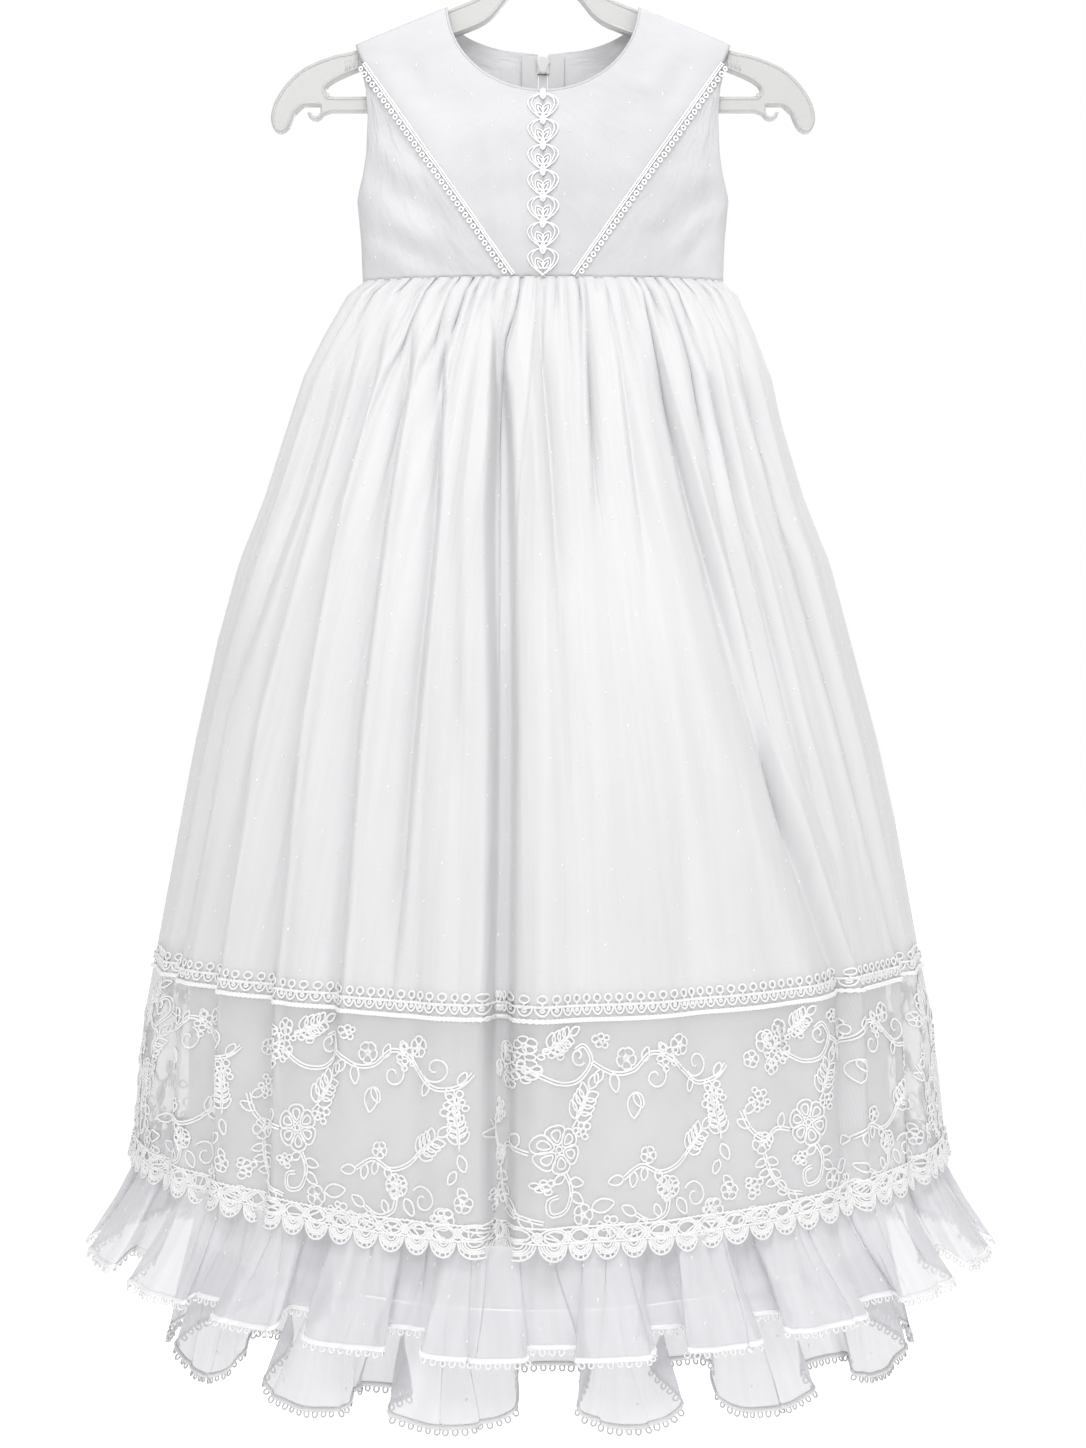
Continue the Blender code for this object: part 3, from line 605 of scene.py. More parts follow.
def tubes(name, lines, radius, sides, material, replaces=None):
    """Round threads along lines. Each line is (points, facings, closed).

    A thread of three sides has a flat side outward, so that it catches the light.
    """
    turn = (np.arange(sides) + (0.5 if sides == 3 else 0.0)) * math.tau / sides
    vertices, faces, start = [], [], 0
    for (points, facings, closed), radius in zip(lines, np.broadcast_to(radius, len(lines))):
        if closed:
            way = unit(np.roll(points, -1, axis=0) - np.roll(points, 1, axis=0))
        else:
            way = unit(np.vstack((points[1:], points[-1:])) - np.vstack((points[:1], points[:-1])))
        beside = unit(np.cross(way, facings))
        raised = np.cross(beside, way)
        ring = points[:, None] + radius * (
            np.cos(turn)[None, :, None] * raised[:, None] + np.sin(turn)[None, :, None] * beside[:, None]
        )
        count = len(points)
        vertices.append(ring.reshape(-1, 3))
        i, j = np.meshgrid(np.arange(count if closed else count - 1), np.arange(sides), indexing="ij")
        after, beyond = (i + 1) % count, (j + 1) % sides
        quads = np.stack((i * sides + j, i * sides + beyond, after * sides + beyond, after * sides + j), axis=-1)
        faces += (quads.reshape(-1, 4) + start).tolist()
        if not closed:
            last = start + (count - 1) * sides
            faces += [list(range(start, start + sides))[::-1], list(range(last, last + sides))]
        start += count * sides
    return new_piece(name, np.vstack(vertices), faces, material, replaces)


# ---------------------------------------------------------------- materials


class Shading:
    """A material in the making: its nodes, with their values and links."""

    def __init__(self, name, settings):
        self.material = bpy.data.materials.new(name)
        self.material.use_nodes = True
        self.nodes, self.link = self.material.node_tree.nodes, self.material.node_tree.links.new
        self.shader = self.nodes["Principled BSDF"]
        for socket, value in settings.items():
            self.shader.inputs[socket].default_value = value

    def add(self, kind, values=(), links=()):
        """A new node, with the values of its sockets and the outputs that feed them."""
        node = self.nodes.new(kind)
        for socket, value in dict(values).items():
            node.inputs[socket].default_value = value
        for socket, source in dict(links).items():
            self.link(source, node.inputs[socket])
        return node

    def noise(self, vector, scale, detail=2.0):
        """Uneven values over a vector."""
        return self.add("ShaderNodeTexNoise", {"Scale": scale, "Detail": detail}, {"Vector": vector}).outputs["Fac"]

    def ramp(self, source, low, high, start=0.0, end=1.0):
        """A colour from low to high, as the source goes from start to end."""
        node = self.add("ShaderNodeValToRGB", links={"Fac": source})
        for element, place, colour in zip(node.color_ramp.elements, (start, end), (low, high)):
            element.position, element.color = place, (*colour, 1)
        return node.outputs["Color"]

    def bump(self, height, strength, distance, under=()):
        """Relief of a height, over another bump where one is given."""
        links = {"Height": height, **dict(under)}
        return self.add("ShaderNodeBump", {"Strength": strength, "Distance": distance}, links).outputs["Normal"]

    def darkened(self, colour, other, share):
        """A colour multiplied by another."""
        node = self.nodes.new("ShaderNodeMix")
        node.data_type, node.blend_type = "RGBA", "MULTIPLY"
        node.inputs["Factor"].default_value = share
        self.link(colour, node.inputs[6])
        self.link(other, node.inputs[7])
        return node.outputs[2]

    def done(self, colour, relief):
        """The material, once its colour and relief reach the shader."""
        self.link(colour, self.shader.inputs["Base Color"])
        self.link(relief, self.shader.inputs["Normal"])
        return self.material


def cloth_material(name, colour, roughness, sheen, alpha, period, depth, tone=0.03, folds=None):
    """Woven cloth: a fine weave, uneven tone, and long soft folds if they are given.

    An alpha under 1 lets what is behind show through. Where folds are given, they are a bump, and their hollows are
    darkened in the colour as painted shade.
    """
    settings = {"Roughness": roughness, "Sheen Weight": sheen, "Sheen Roughness": 0.45}
    cloth = Shading(name, {**settings, "Specular IOR Level": 0.25, "Alpha": alpha})
    place = cloth.add("ShaderNodeUVMap")
    place.uv_map = "cloth"
    along = {"Vector": place.outputs["UV"]}
    both = cloth.add("ShaderNodeMath")
    both.operation = "MULTIPLY"
    for number, direction in enumerate("XY"):
        waves = {"Scale": math.tau / 20.0 / period, "Distortion": 0.6, "Detail": 1.0}
        wave = cloth.add("ShaderNodeTexWave", waves, along)
        wave.bands_direction = direction
        cloth.link(wave.outputs["Fac"], both.inputs[number])
    weave = both.outputs[0]
    patches = cloth.noise(cloth.add("ShaderNodeTexCoord").outputs["Object"], 9.0, 4.0)
    low = [c * (1 - tone) for c in colour]
    high = [min(1.0, c * (1 + tone * 0.5)) for c in colour]
    tint = cloth.darkened(cloth.ramp(patches, low, high, 0.3, 0.7), weave, 0.10)
    under = {}
    if folds:
        across, down, fold_shade, height = folds
        run = cloth.add("ShaderNodeMapping", {"Scale": (across, down, 1.0)}, along)
        lines = cloth.noise(run.outputs["Vector"], 1.0, 3.0)
        # Painted shade: the colour is darkened along the low streaks of the folds' noise, where the bump sinks.
        tint = cloth.darkened(tint, cloth.ramp(lines, [1 - fold_shade] * 3, (1, 1, 1), 0.36, 0.66), 1.0)
        under = {"Normal": cloth.bump(lines, 1.0, height)}
    return cloth.done(tint, cloth.bump(weave, 0.5, depth, under))


def thread_material(name, colour, roughness, twist):
    """Twisted white thread, with a fine slanting grain."""
    yarn = Shading(name, {"Roughness": roughness, "Sheen Weight": 0.25})
    grain = yarn.noise(yarn.add("ShaderNodeTexCoord").outputs["Object"], twist, 3.0)
    return yarn.done(yarn.ramp(grain, [c * 0.93 for c in colour], colour), yarn.bump(grain, 0.6, 0.0003))


def plastic_material(name, colour, roughness, mottle):
    """Moulded plastic with a faint flow of tone and a fine skin."""
    cast = Shading(name, {"Roughness": roughness, "Subsurface Weight": 0.08, "Subsurface Scale": 0.004})
    place = cast.add("ShaderNodeTexCoord").outputs["Object"]
    flow = cast.ramp(cast.noise(place, mottle), [c * 0.96 for c in colour], colour)
    return cast.done(flow, cast.bump(cast.noise(place, 900.0), 0.15, 0.0002))


# Period and depth of the weave in metres, and how uneven the tone is. The last group
# of a cloth is its folds: how many a metre across and down, how dark the shade painted
# in their hollows, and how high.
FINE_WEAVE = (0.00045, 0.00008, 0.03)
SATIN_WEAVE = (0.0004, 0.00006, 0.08)
organza = cloth_material("organza", (0.87, 0.87, 0.88), 0.5, 0.3, 0.80, *FINE_WEAVE, (90, 3.5, 0.06, 0.0014))
ruffle_organza = cloth_material(
    "ruffle_organza", (0.78, 0.78, 0.81), 0.5, 0.6, 0.74, *FINE_WEAVE, (120, 4, 0.07, 0.0007)
)
satin = cloth_material("bodice_cotton", (0.64, 0.64, 0.66), 0.45, 0.2, 1.0, *SATIN_WEAVE, (42, 24, 0.04, 0.0032))
back_satin = cloth_material("back_cotton", (0.68, 0.68, 0.70), 0.45, 0.2, 0.94, *SATIN_WEAVE, (42, 24, 0.04, 0.003))
lining = cloth_material("lining", (0.85, 0.85, 0.86), 0.6, 0.1, 1.0, 0.0005, 0.00006)
tulle = cloth_material("tulle", (0.84, 0.84, 0.85), 0.7, 0.1, 0.5, 0.0012, 0.0001)
thread = thread_material("lace_thread", (0.93, 0.93, 0.93), 0.55, 1400.0)
dot_thread = thread_material("dot_thread", (0.84, 0.84, 0.85), 0.5, 1800.0)
# The lower picots are white thread, greyed here as painted shade.
picot_painted_shade_thread = thread_material("picot_painted_shade_thread", (0.60, 0.60, 0.60), 0.5, 1400.0)
# A greyer copy of the white binding satin for the lower hem: painted shade.
shaded_lower_hem_satin = thread_material("lower_binding_painted_shade", (0.72, 0.72, 0.73), 0.32, 700.0)
binding_satin = thread_material("satin_binding", (0.9, 0.9, 0.91), 0.32, 700.0)
plastic = plastic_material("hanger_plastic", (0.52, 0.52, 0.51), 0.38, 25.0)
nylon = plastic_material("zip_nylon", (0.60, 0.60, 0.60), 0.4, 80.0)
tape = thread_material("zip_tape", (0.58, 0.58, 0.59), 0.6, 900.0)

# ---------------------------------------------------------------- cloth


def skirt_heights():
    """Heights of the skirt's rows, closer together under the waist."""
    upper = WAIST + 0.8 - 67 * np.linspace(0, 1, 34) ** 1.3
    lower = np.linspace(upper[-1], BAND_SEAM, 49)[1:]
    return np.concatenate((upper, lower))


def make_skirt():
    """Skirt, underskirt and lace band, front and back, and the skirt's panels for its dots."""
    made, skirts = {}, {}
    for word, side in SIDES:
        moved = skirt_moved(side)
        skirt = hanging(SKIRT, side, skirt_heights(), SKIRT_PLACES, moved)
        band = hanging(SKIRT, side, BAND_HEIGHTS, SKIRT_PLACES, moved)

        def soft_folds(at, height, length, place_of, moved=moved):
            grown = ease((-height - 300) / 200.0)
            wave = np.sin(math.tau * 6.5 * at + 0.8) + 0.6 * np.sin(math.tau * 11.0 * at + 2.0)
            ends = ease(np.minimum(at, 1 - at) * 9.0)
            under_crease = moved(at, height, length, place_of)[0] * (0.85 - 0.45 * grown)
            return under_crease + 1.2 * wave * grown * ends, 0.0, 0.0

        top, *_, foot = UNDERSKIRT.columns["height"]
        under = hanging(UNDERSKIRT, side, np.linspace(top, foot, 60), np.linspace(0, 1, 121), soft_folds)
        made[word] = (
            cloth_piece(f"organza_skirt_{word}", skirt, organza, f"skirt_{word}"),
            cloth_piece(f"tulle_band_{word}", band, tulle, f"lace_band_{word}"),
            cloth_piece(f"underskirt_cloth_{word}", under, lining, f"underskirt_{word}"),
        )
        skirts[word] = Panel(skirt)
    return made, skirts


def make_ruffles():
    """Both ruffles with their bindings and picots."""
    made = {}
    for tier, profile, hem, waves, leans, lean, lifted, arched, columns, yarn, edging in (
        ("upper", UPPER_RUFFLE, UPPER_HEM, FOLDS, UPPER_LEANS, 0.5, 1.2, 0.3, 861, thread, binding_satin),
        # The lower tier's picots and binding are greyed as painted shade.
        ("lower", LOWER_RUFFLE, LOWER_HEM, LOWER_WAVES, LOWER_LEANS, 0.4, 1.7, 0.75, 721, picot_painted_shade_thread, shaded_lower_hem_satin),
    ):
        for word, side in SIDES:
            places = np.linspace(0, 1, columns)
            moved = ruffle_moved(profile, waves, leans[side], lean, lifted, arched, 8 + side)
            top = profile.columns["height"][0]
            heights = top + (hem - top) * np.linspace(0, 1, RUFFLE_ROWS) ** 1.1
            grid = hanging(profile, side, heights, places, moved)
            ruffle = cloth_piece(f"{tier}_ruffle_cloth_{word}", grid, ruffle_organza, f"ruffle_{tier}_{word}")
            strip = hanging(profile, side, (hem + 0.6, hem - 0.5 * BINDING, hem - BINDING), places, moved)
            facing = Panel(strip).facing
            rounded = strip + facing * np.array((0.3, 1.1, 0.3))[:, None, None]
            name, replaced = f"{tier}_hem_binding_{word}", f"ruffle_{tier}_binding_{word}"
            binding = cloth_piece(name, rounded, edging, replaced, BINDING_WALL)
            picots = picot_row(f"{tier}_hem_picots_{word}", strip[-1], facing[-1], yarn)
            made[tier, word] = (Panel(grid), ruffle, [binding, picots])
    return made


def even_stations(points, pitch):
    """A reader of tables along a line, at places about one pitch apart."""
    lengths = run_of(points)
    count = max(2, int(lengths[-1] / pitch))
    marks = (np.arange(count) + 0.5) * lengths[-1] / count
    return lambda table: np.stack([np.interp(marks, lengths, column) for column in table.T], axis=1)


def picot_row(name, edge, facings, material):
    """Small thread rings hanging side by side under a hem."""
    read = even_stations(edge, PICOT_PITCH)
    points, outs = read(edge), unit(read(facings))
    chance = np.random.RandomState(len(name))
    lines = []
    turn = np.arange(9) * math.tau / 9
    for point, out, along in zip(points, outs, unit(np.gradient(points, axis=0))):
        down = np.cross(along, out)
        if down[2] > 0:
            down = -down
        down = unit(down + out * chance.uniform(-0.25, 0.25) + along * chance.uniform(-0.15, 0.15))
        size = PICOT_RADIUS * chance.uniform(0.88, 1.1)
        ring = point + down * (size * 0.62)
        ring = ring + size * (np.cos(turn)[:, None] * along * 0.86 + np.sin(turn)[:, None] * down)
        lines.append((ring, np.tile(out, (9, 1)), True))
    return tubes(name, lines, *PICOT_YARN, material)


def make_bodice():
    """The five panels of the bodice."""
    made = {}
    made["centre"] = cloth_piece(
        "bodice_cloth_front", front_centre_grid(), satin, "bodice_front_centre", WALL, parted=CENTRE_SPANS
    )
    for word, hand in HANDS:
        name, replaced = f"bodice_cloth_side_{word}", f"bodice_front_side_{word}"
        made["side_" + word] = cloth_piece(name, front_side_grid(hand), satin, replaced, WALL)
        name, replaced = f"bodice_cloth_back_{word}", f"bodice_back_{word}"
        made["back_" + word] = cloth_piece(name, back_grid(hand), back_satin, replaced)
    return made


# ---------------------------------------------------------------- lace drawing


def flat_line(points, closed=False, step=1.2):
    """A line drawn flat, with points about one step apart."""
    points = np.asarray(points, float)
    ring = np.vstack((points, points[:1])) if closed else points
    lengths = run_of(ring)
    count = max(3, int(lengths[-1] / step)) + (0 if closed else 1)
    marks = np.linspace(0, lengths[-1], count, endpoint=not closed)
    return np.stack([np.interp(marks, lengths, ring[:, k]) for k in range(2)], axis=1), closed


def spline(points, steps=10):
    """A rounded line through a few points."""
    p = np.asarray(points, float)
    p = np.vstack((p[:1], p, p[-1:]))
    out = []
    for a, b, c, d in zip(p, p[1:], p[2:], p[3:]):
        for t in np.arange(steps) / steps:
            bend = (2 * a - 5 * b + 4 * c - d) * t * t + (3 * b - a - 3 * c + d) * t**3
            out.append(0.5 * (2 * b + (c - a) * t + bend))
    return np.array(out + [p[-2]])


def turned_by(points, degrees, x, y):
    """Points turned about their origin and put in place."""
    a = math.radians(degrees)
    px, py = np.asarray(points, float).T
    turned = (x + px * math.cos(a) - py * math.sin(a), y + px * math.sin(a) + py * math.cos(a))
    return np.stack(turned, axis=1)


def petal(x, y, degrees, length, width):
    """A drop that widens from its root."""
    t = np.linspace(0, math.tau, 22, endpoint=False)
    half = width / 2 * np.sin(t) * (0.75 - 0.35 * np.cos(t)) * 1.25
    shape = np.stack((length * (1 - np.cos(t)) / 2, half), axis=1)
    return flat_line(turned_by(shape, degrees, x, y), True, 1.15)


def leaf(x, y, degrees, length, width):
    """A pointed loop from its root to its tip."""
    t = np.linspace(0, 1, 12)
    upper = np.stack((length * t, 0.6 * width * np.sin(math.pi * t**0.85) ** 0.8), axis=1)
    lower = upper[::-1][1:-1] * (1, -1)
    return flat_line(turned_by(np.vstack((upper, lower)), degrees, x, y), True, 1.2)


def flower(x, y, radius, petals, start):
    """A ring of petals round a small ring, and doubled ones where it is large."""
    drawn = []
    width = 2 * radius * math.sin(math.pi / petals) * 0.92
    inner = radius * 0.2
    for number in range(petals):
        degrees = start + 360.0 * number / petals
        a = math.radians(degrees)
        for out, long, wide in ((1, 1, 0.86), (1.6, 0.62, 0.4))[: 2 if radius > 7 else 1]:
            root = (x + out * inner * math.cos(a), y + out * inner * math.sin(a))
            drawn.append(petal(*root, degrees, (radius - inner) * long, width * wide))
    size = max(0.9, radius * 0.14)
    drawn.append(flat_line(arc(x, y, size, size, np.linspace(0, math.tau, 8, endpoint=False)), True, 0.9))
    return drawn


def scroll(x, y, radius, start, turns, hand):
    """A line that curls in on itself."""
    t = np.linspace(0, 1, 30)
    size = radius * (1 - 0.78 * t)
    return flat_line(arc(x, y, size, size, np.radians(start + hand * 360.0 * turns * t)))


def stem(*points, apart=0.75):
    """A double line through a few points."""
    line = spline(points)
    way = unit(np.gradient(line, axis=0))
    aside = np.stack((-way[:, 1], way[:, 0]), axis=1) * apart
    return [flat_line(line + aside), flat_line(line - aside)]


def frond(x, y, degrees, length, pairs, size):
    """A stem with paired leaves and one at its tip."""
    bend = ((0, 0), (length * 0.5, length * 0.06), (length, 0))
    drawn = [flat_line(turned_by(spline(bend), degrees, x, y))]
    for share in (number / pairs for number in range(pairs)):
        for hand in (1, -1):
            root = turned_by([(length * (0.22 + 0.7 * share), 0.4 * hand)], degrees, x, y)[0]
            lean = hand * (48 - 10 * share)
            drawn.append(leaf(*root, degrees + lean, size * (1 - 0.25 * share), size * 0.42))
    tip = turned_by([(length, 0)], degrees, x, y)[0]
    drawn.append(leaf(*tip, degrees, size * 0.9, size * 0.42))
    return drawn


def cluster(x, y, count, spread, seed):
    """Small round loops crowded together."""
    chance = np.random.RandomState(seed)
    drawn = []
    for number in range(count):
        a, reach = 2.4 * number + chance.uniform(-0.2, 0.2), spread * math.sqrt((number + 0.3) / count)
        size = chance.uniform(1.5, 2.2)
        drawn.append(ring_line(x + reach * math.cos(a), y + reach * math.sin(a), size, 0.85 * size))
    return drawn


# One repeat of the band's corded flowers: each row is what its motif's function takes,
# in mm across and mm down from the cord.
MOTIFS = (
    (flower, (
        (47, 60, 12.0, 6, 20), (24, 15, 6.2, 5, 10), (34, 9, 4.6, 5, 40), (35, 21, 5.0, 5, 70), (14, 23, 4.4, 5, 0),
        (26, 28, 4.2, 5, 30), (88, 17, 5.6, 5, 15), (119, 12, 5.4, 5, 50), (16, 66, 5.6, 5, 25), (61, 93, 5.4, 5, 0),
        (108, 82, 6.0, 5, 30), (98, 65, 4.2, 5, 10), (135, 96, 5.6, 5, 20), (145, 88, 4.6, 5, 60),
    )),
    (frond, (
        (40, 12, -28, 17, 4, 8.0), (55, 50, -58, 22, 4, 10.0), (118, 68, -42, 19, 4, 8.6), (143, 62, -98, 17, 4, 7.6),
    )),
    (stem, (
        ((36, 22), (48, 28), (60, 27), (68, 18), (64, 10), (58, 12)),
        ((68, 18), (80, 24), (92, 23), (102, 15), (112, 17), (119, 24)),
        ((119, 24), (130, 32), (143, 30), (149, 24)),
        ((35, 62), (26, 60), (18, 64), (10, 58), (6, 48)),
        ((17, 72), (20, 82), (28, 92), (40, 96)),
        ((50, 71), (54, 80), (51, 90), (43, 92), (42, 85), (47, 83)),
        ((84, 76), (94, 70), (104, 74), (114, 71), (124, 62)),
        ((108, 88), (106, 95), (98, 98), (90, 94)),
    )),
    (cluster, (
        (31, 18, 15, 10.0, 1), (46, 12, 6, 5.0, 2), (112, 18, 8, 6.5, 3), (140, 40, 12, 7.0, 4), (16, 44, 9, 6.0, 5),
        (61, 52, 6, 4.5, 6), (108, 83, 8, 5.5, 7), (40, 78, 6, 4.0, 8), (134, 96, 7, 5.0, 9), (74, 98, 6, 4.5, 10),
        (74, 8, 6, 4.0, 11), (10, 88, 8, 5.0, 12),
    )),
)
SCROLLS = (
    (60, 15, 5.2, 40, 1.1, 1), (104, 27, 7.0, -80, 1.2, 1), (130, 22, 7.6, 150, 1.2, -1), (124, 88, 7.8, -150, 1.25, 1),
)
LEAVES = (
    (80, 24, 80, 10, 4.4), (74, 22, 120, 8, 3.8), (98, 19, -70, 8, 3.6), (110, 16, -110, 7, 3.2),
    (92, 34, 95, 13, 6.4), (92, 34, 60, 9, 4.2), (136, 31, 70, 9, 4.0), (142, 30, -60, 8, 3.8),
    (126, 29, 110, 8, 3.6), (28, 60, -70, 8, 3.8), (10, 57, -150, 8, 3.6), (8, 50, -40, 8, 3.6),
    (22, 62, 110, 7, 3.2), (18, 75, 20, 8, 3.6), (20, 81, 32, 8, 3.6), (24, 87, 44, 8, 3.6), (31, 93, 56, 8, 3.6),
    (18, 75, 160, 7.5, 3.4), (20, 81, 168, 7.5, 3.4), (24, 87, 176, 7.5, 3.4), (31, 93, 184, 7.5, 3.4),
    (53, 76, 10, 9, 4.0), (54, 82, 35, 9, 4.0), (50, 73, 150, 7, 3.4), (66, 90, -12, 13, 5.6), (84, 76, 170, 9, 4.2),
    (90, 73, 100, 8, 3.6), (96, 71, 100, 7, 3.2), (102, 73, 70, 7, 3.2), (113, 88, 60, 10, 4.4),
    (96, 97, 150, 8, 3.6), (103, 96, -110, 7, 3.2), (90, 94, -150, 9, 4.0), (143, 64, 70, 9, 4.0),
    (141, 72, 120, 8, 3.6), (143, 80, 60, 8, 3.6),
)


def flower_repeat():
    """All lines of one repeat."""
    drawn = [line for draw, rows in MOTIFS for row in rows for line in draw(*row)]
    drawn += [scroll(*row) for row in SCROLLS] + [leaf(*row) for row in LEAVES]
    for x in (8, 82):
        drawn += [petal(x, 106, degrees, 8.5, 5.4) for degrees in (-165, -128, -90, -52, -15)]
    return drawn


def laid_on(panel, place_of, drawn, lift):
    """Lines drawn flat, laid on a panel by a rule from flat places to its shares."""
    lines = []
    for points, closed in drawn:
        row, column = place_of(points[:, 0], points[:, 1])
        kept = (column > 0.003) & (column < 0.997)
        if not kept.all() and (closed or kept.sum() < 20):
            continue
        lines.append((*panel.at(row[kept], column[kept], lift), closed))
    return lines


def ring_line(x, y, across, down, step=1.0):
    """A closed ring."""
    return flat_line(arc(x, y, across, down, np.linspace(0, math.tau, 12, endpoint=False)), True, step)


def waved(length, spacing, middle, height, period):
    """A line that waves up and down about its middle."""
    along = np.linspace(0, length, int(length / spacing))
    return np.stack((along, middle + height * np.sin(along * math.tau / period)), axis=1), False


def braid_drawing(length):
    """The band-top braid: rings on stems above a cord, and half loops below it."""
    drawn = []
    count = int(length / 6.5)
    pitch = length / count
    for number in range(count):
        x = (number + 0.5) * pitch
        drawn.append(ring_line(x, 2.0, 2.0, 1.9))
        drawn.append(flat_line([(x, 3.8), (x, 6.2)]))
        drawn.append(flat_line(arc(x, 6.2, pitch * 0.44, 4.2, np.linspace(0, math.pi, 9))))
        drawn.append(ring_line(x, 7.7, 0.95, 0.8, 0.8))
    return drawn + [waved(length, 1.4, 5.9, hand * 0.55, 3.2) for hand in (1, -1)]


def cord_drawing(length):
    """A rough piping: two strands wound round each other."""
    return [waved(length, 0.9, 0.0, hand * 0.7, 4.4) for hand in (1, -1)]


def scallop_drawing(length):
    """The edging: ovals with crossed threads, knots between, and round fans below."""
    drawn = []
    chance = np.random.RandomState(5)
    count = int(length / 14.6)
    pitch = length / count
    for number in range(count):
        x = (number + 0.5) * pitch
        middle = 4.8 + chance.uniform(-0.5, 0.5)
        drawn.append(ring_line(x, middle, pitch * 0.46, 4.3))
        drawn.append(ring_line(x + middle - 4.8, middle, pitch * 0.35, 3.1))
        for _ in range(4):
            drawn.append(flat_line(arc(x, 4.8, 0.33 * pitch, 2.9, chance.uniform(0, math.tau, 2))))
        for across, down in ((1.9, 2.4), (1.0, 1.4), (0.4, 0.6)):
            drawn.append(ring_line(number * pitch, middle, across, down, 0.8))
        t = np.linspace(0.02, 0.98, 15) * math.pi
        for wide, deep in ((0.46, 8.4), (0.40, 6.0), (0.33, 5.0), (0.25, 4.0), (0.16, 2.6)):
            drawn.append(flat_line(arc(x, 8.6, wide * pitch, deep, t)))
        for a in np.radians((28, 52, 76, 104, 128, 152)):
            drawn.append(flat_line(arc(x, 8.6, np.array((0.4, 0.45)) * pitch, np.array((6.0, 8.2)), a)))
    return drawn + [waved(length, 1.5, middle, 0.35, 3.0) for middle in (8.4, 0.6)]


def smooth_length(side, height):
    """Length of half the skirt's ring at one height, without its folds."""
    return even_angles(SKIRT.at("half_width", height), SKIRT.at("depth", height), np.array([0.0]))[2][-1]


def make_band_lace():
    """Braid, cord, flowers and scalloped edging, laid on the band."""
    made = {}
    one = flower_repeat()
    top, foot = BAND_TOP + 2, BAND_FOOT
    hem_rows = np.concatenate((BAND_HEIGHTS[BAND_HEIGHTS < -785.0], [-801.9, -805.0, -809.0, -812.0]))
    for word, side in SIDES:
        moved = skirt_moved(side)
        panel = Panel(hanging(SKIRT, side, np.linspace(top, foot, 28), SKIRT_PLACES, moved))
        middle = smooth_length(side, -740.0)
        scale = middle / (REPEATS * REPEAT)
        shift = 0.0 if side == FRONT else 0.5
        flowers = [
            (points * (scale, 1) + ((number - shift) * REPEAT * scale, 0), closed)
            for number in range(math.ceil(REPEATS)) for points, closed in one
        ]
        edge = hanging(SKIRT, side, hem_rows, SKIRT_PLACES, moved)
        fall = np.clip((-hem_rows - 798.0) / 14.0, 0, 1)[:, None, None]
        edge_panel = Panel(edge + Panel(edge).facing * (2.6 * fall))

        def on_edge(x, down):
            order = np.arange(len(hem_rows)) / (len(hem_rows) - 1.0)
            return np.interp(down - SCALLOP_TOP, -hem_rows, order), x / middle

        def on_band(start):
            return lambda x, down: ((top - start + down) / (top - foot), x / middle)

        def sewn(kind, name, lines, radius, sides, replaces=None):
            replaces = replaces and f"{replaces}_{word}"
            made[word, kind] = tubes(f"{name}_{word}", lines, radius, sides, thread, replaces)

        sewn("flowers", "band_flowers", laid_on(panel, on_band(CORD - 3.0), flowers, 0.75), *LACE_YARN)
        lines = laid_on(panel, on_band(BAND_TOP + 1.0), braid_drawing(middle), 1.0)
        sewn("braid", "band_braid_thread", lines, *BRAID_YARN, "band_braid")
        lines = laid_on(panel, on_band(CORD), cord_drawing(middle), 1.1)
        sewn("cord", "band_cord_thread", lines, *CORD_YARN, "band_cord")
        lines = laid_on(edge_panel, on_edge, scallop_drawing(middle), 1.2)
        sewn("scallop", "scallop_thread", lines, *LACE_YARN, "scallop_lace")
    return made


def dots_on(name, places, material):
    """Small woven dots. Each place is its point, the way it faces, and its size."""
    turn = np.arange(7) * math.tau / 7
    vertices, faces = [], []
    for centre, out, wide, tall in places:
        along = unit(np.cross(out, (0, 0, 1.0)))
        down = np.cross(along, out)
        start = len(vertices)
        for share, height in ((1.0, 0.0), (0.6, 0.3)):
            for a in turn:
                ring = along * wide * math.cos(a) + down * tall * math.sin(a)
                vertices.append(centre + out * height + share * ring)
        vertices.append(centre + out * 0.38)
        for k in range(7):
            n = (k + 1) % 7
            faces.append((start + k, start + n, start + 7 + n, start + 7 + k))
            faces.append((start + 7 + k, start + 7 + n, start + 14))
    return new_piece(name, vertices, faces, material)


def make_skirt_dots(skirts):
    """Staggered rows of dots over the skirt, closer together where it is gathered."""
    made = {}
    heights = skirt_heights()
    for word, side in SIDES:
        columns = int(smooth_length(side, BAND_TOP) / DOT_PITCH)
        chance = np.random.RandomState(40 + side)
        places = []
        for number in range(21):
            for column in range(columns):
                share = (column + 0.25 + 0.5 * (number % 2)) / columns + chance.uniform(-0.008, 0.008)
                z = BAND_TOP + 9.0 + number * DOT_ROW + chance.uniform(-4, 4)
                if not 0.01 < share < 0.99 or z > WAIST - 14 or z < BAND_TOP + 3:
                    continue
                row = np.interp(-z, -heights, np.arange(len(heights))) / (len(heights) - 1)
                centre, out = skirts[word].at(row, share, 0.12)
                size = chance.uniform(0.4, 0.75) * (0.75 if z > WAIST - 60 else 1.0)
                places.append((centre, out, size, size * chance.uniform(0.9, 1.8)))
        made[word] = dots_on(f"skirt_dots_{word}", places, dot_thread)
    return made


def make_ruffle_dots(ruffles):
    """The few dots that fall on the ruffles."""
    for tier, columns in (("upper", 34), ("lower", 26)):
        for word, side in SIDES:
            panel, _, trims = ruffles[tier, word]
            chance = np.random.RandomState(60 + side + columns)
            places = []
            for number in range(3):
                for column in range(columns):
                    share = (column + 0.5 * (number % 2) + chance.uniform(0.1, 0.4)) / columns
                    if not 0.02 < share < 0.98:
                        continue
                    row = 0.22 + 0.31 * number + chance.uniform(-0.04, 0.04)
                    places.append((*panel.at(row, share, 0.1), 0.6, 1.1))
            trims.append(dots_on(f"{tier}_ruffle_dots_{word}", places, dot_thread))


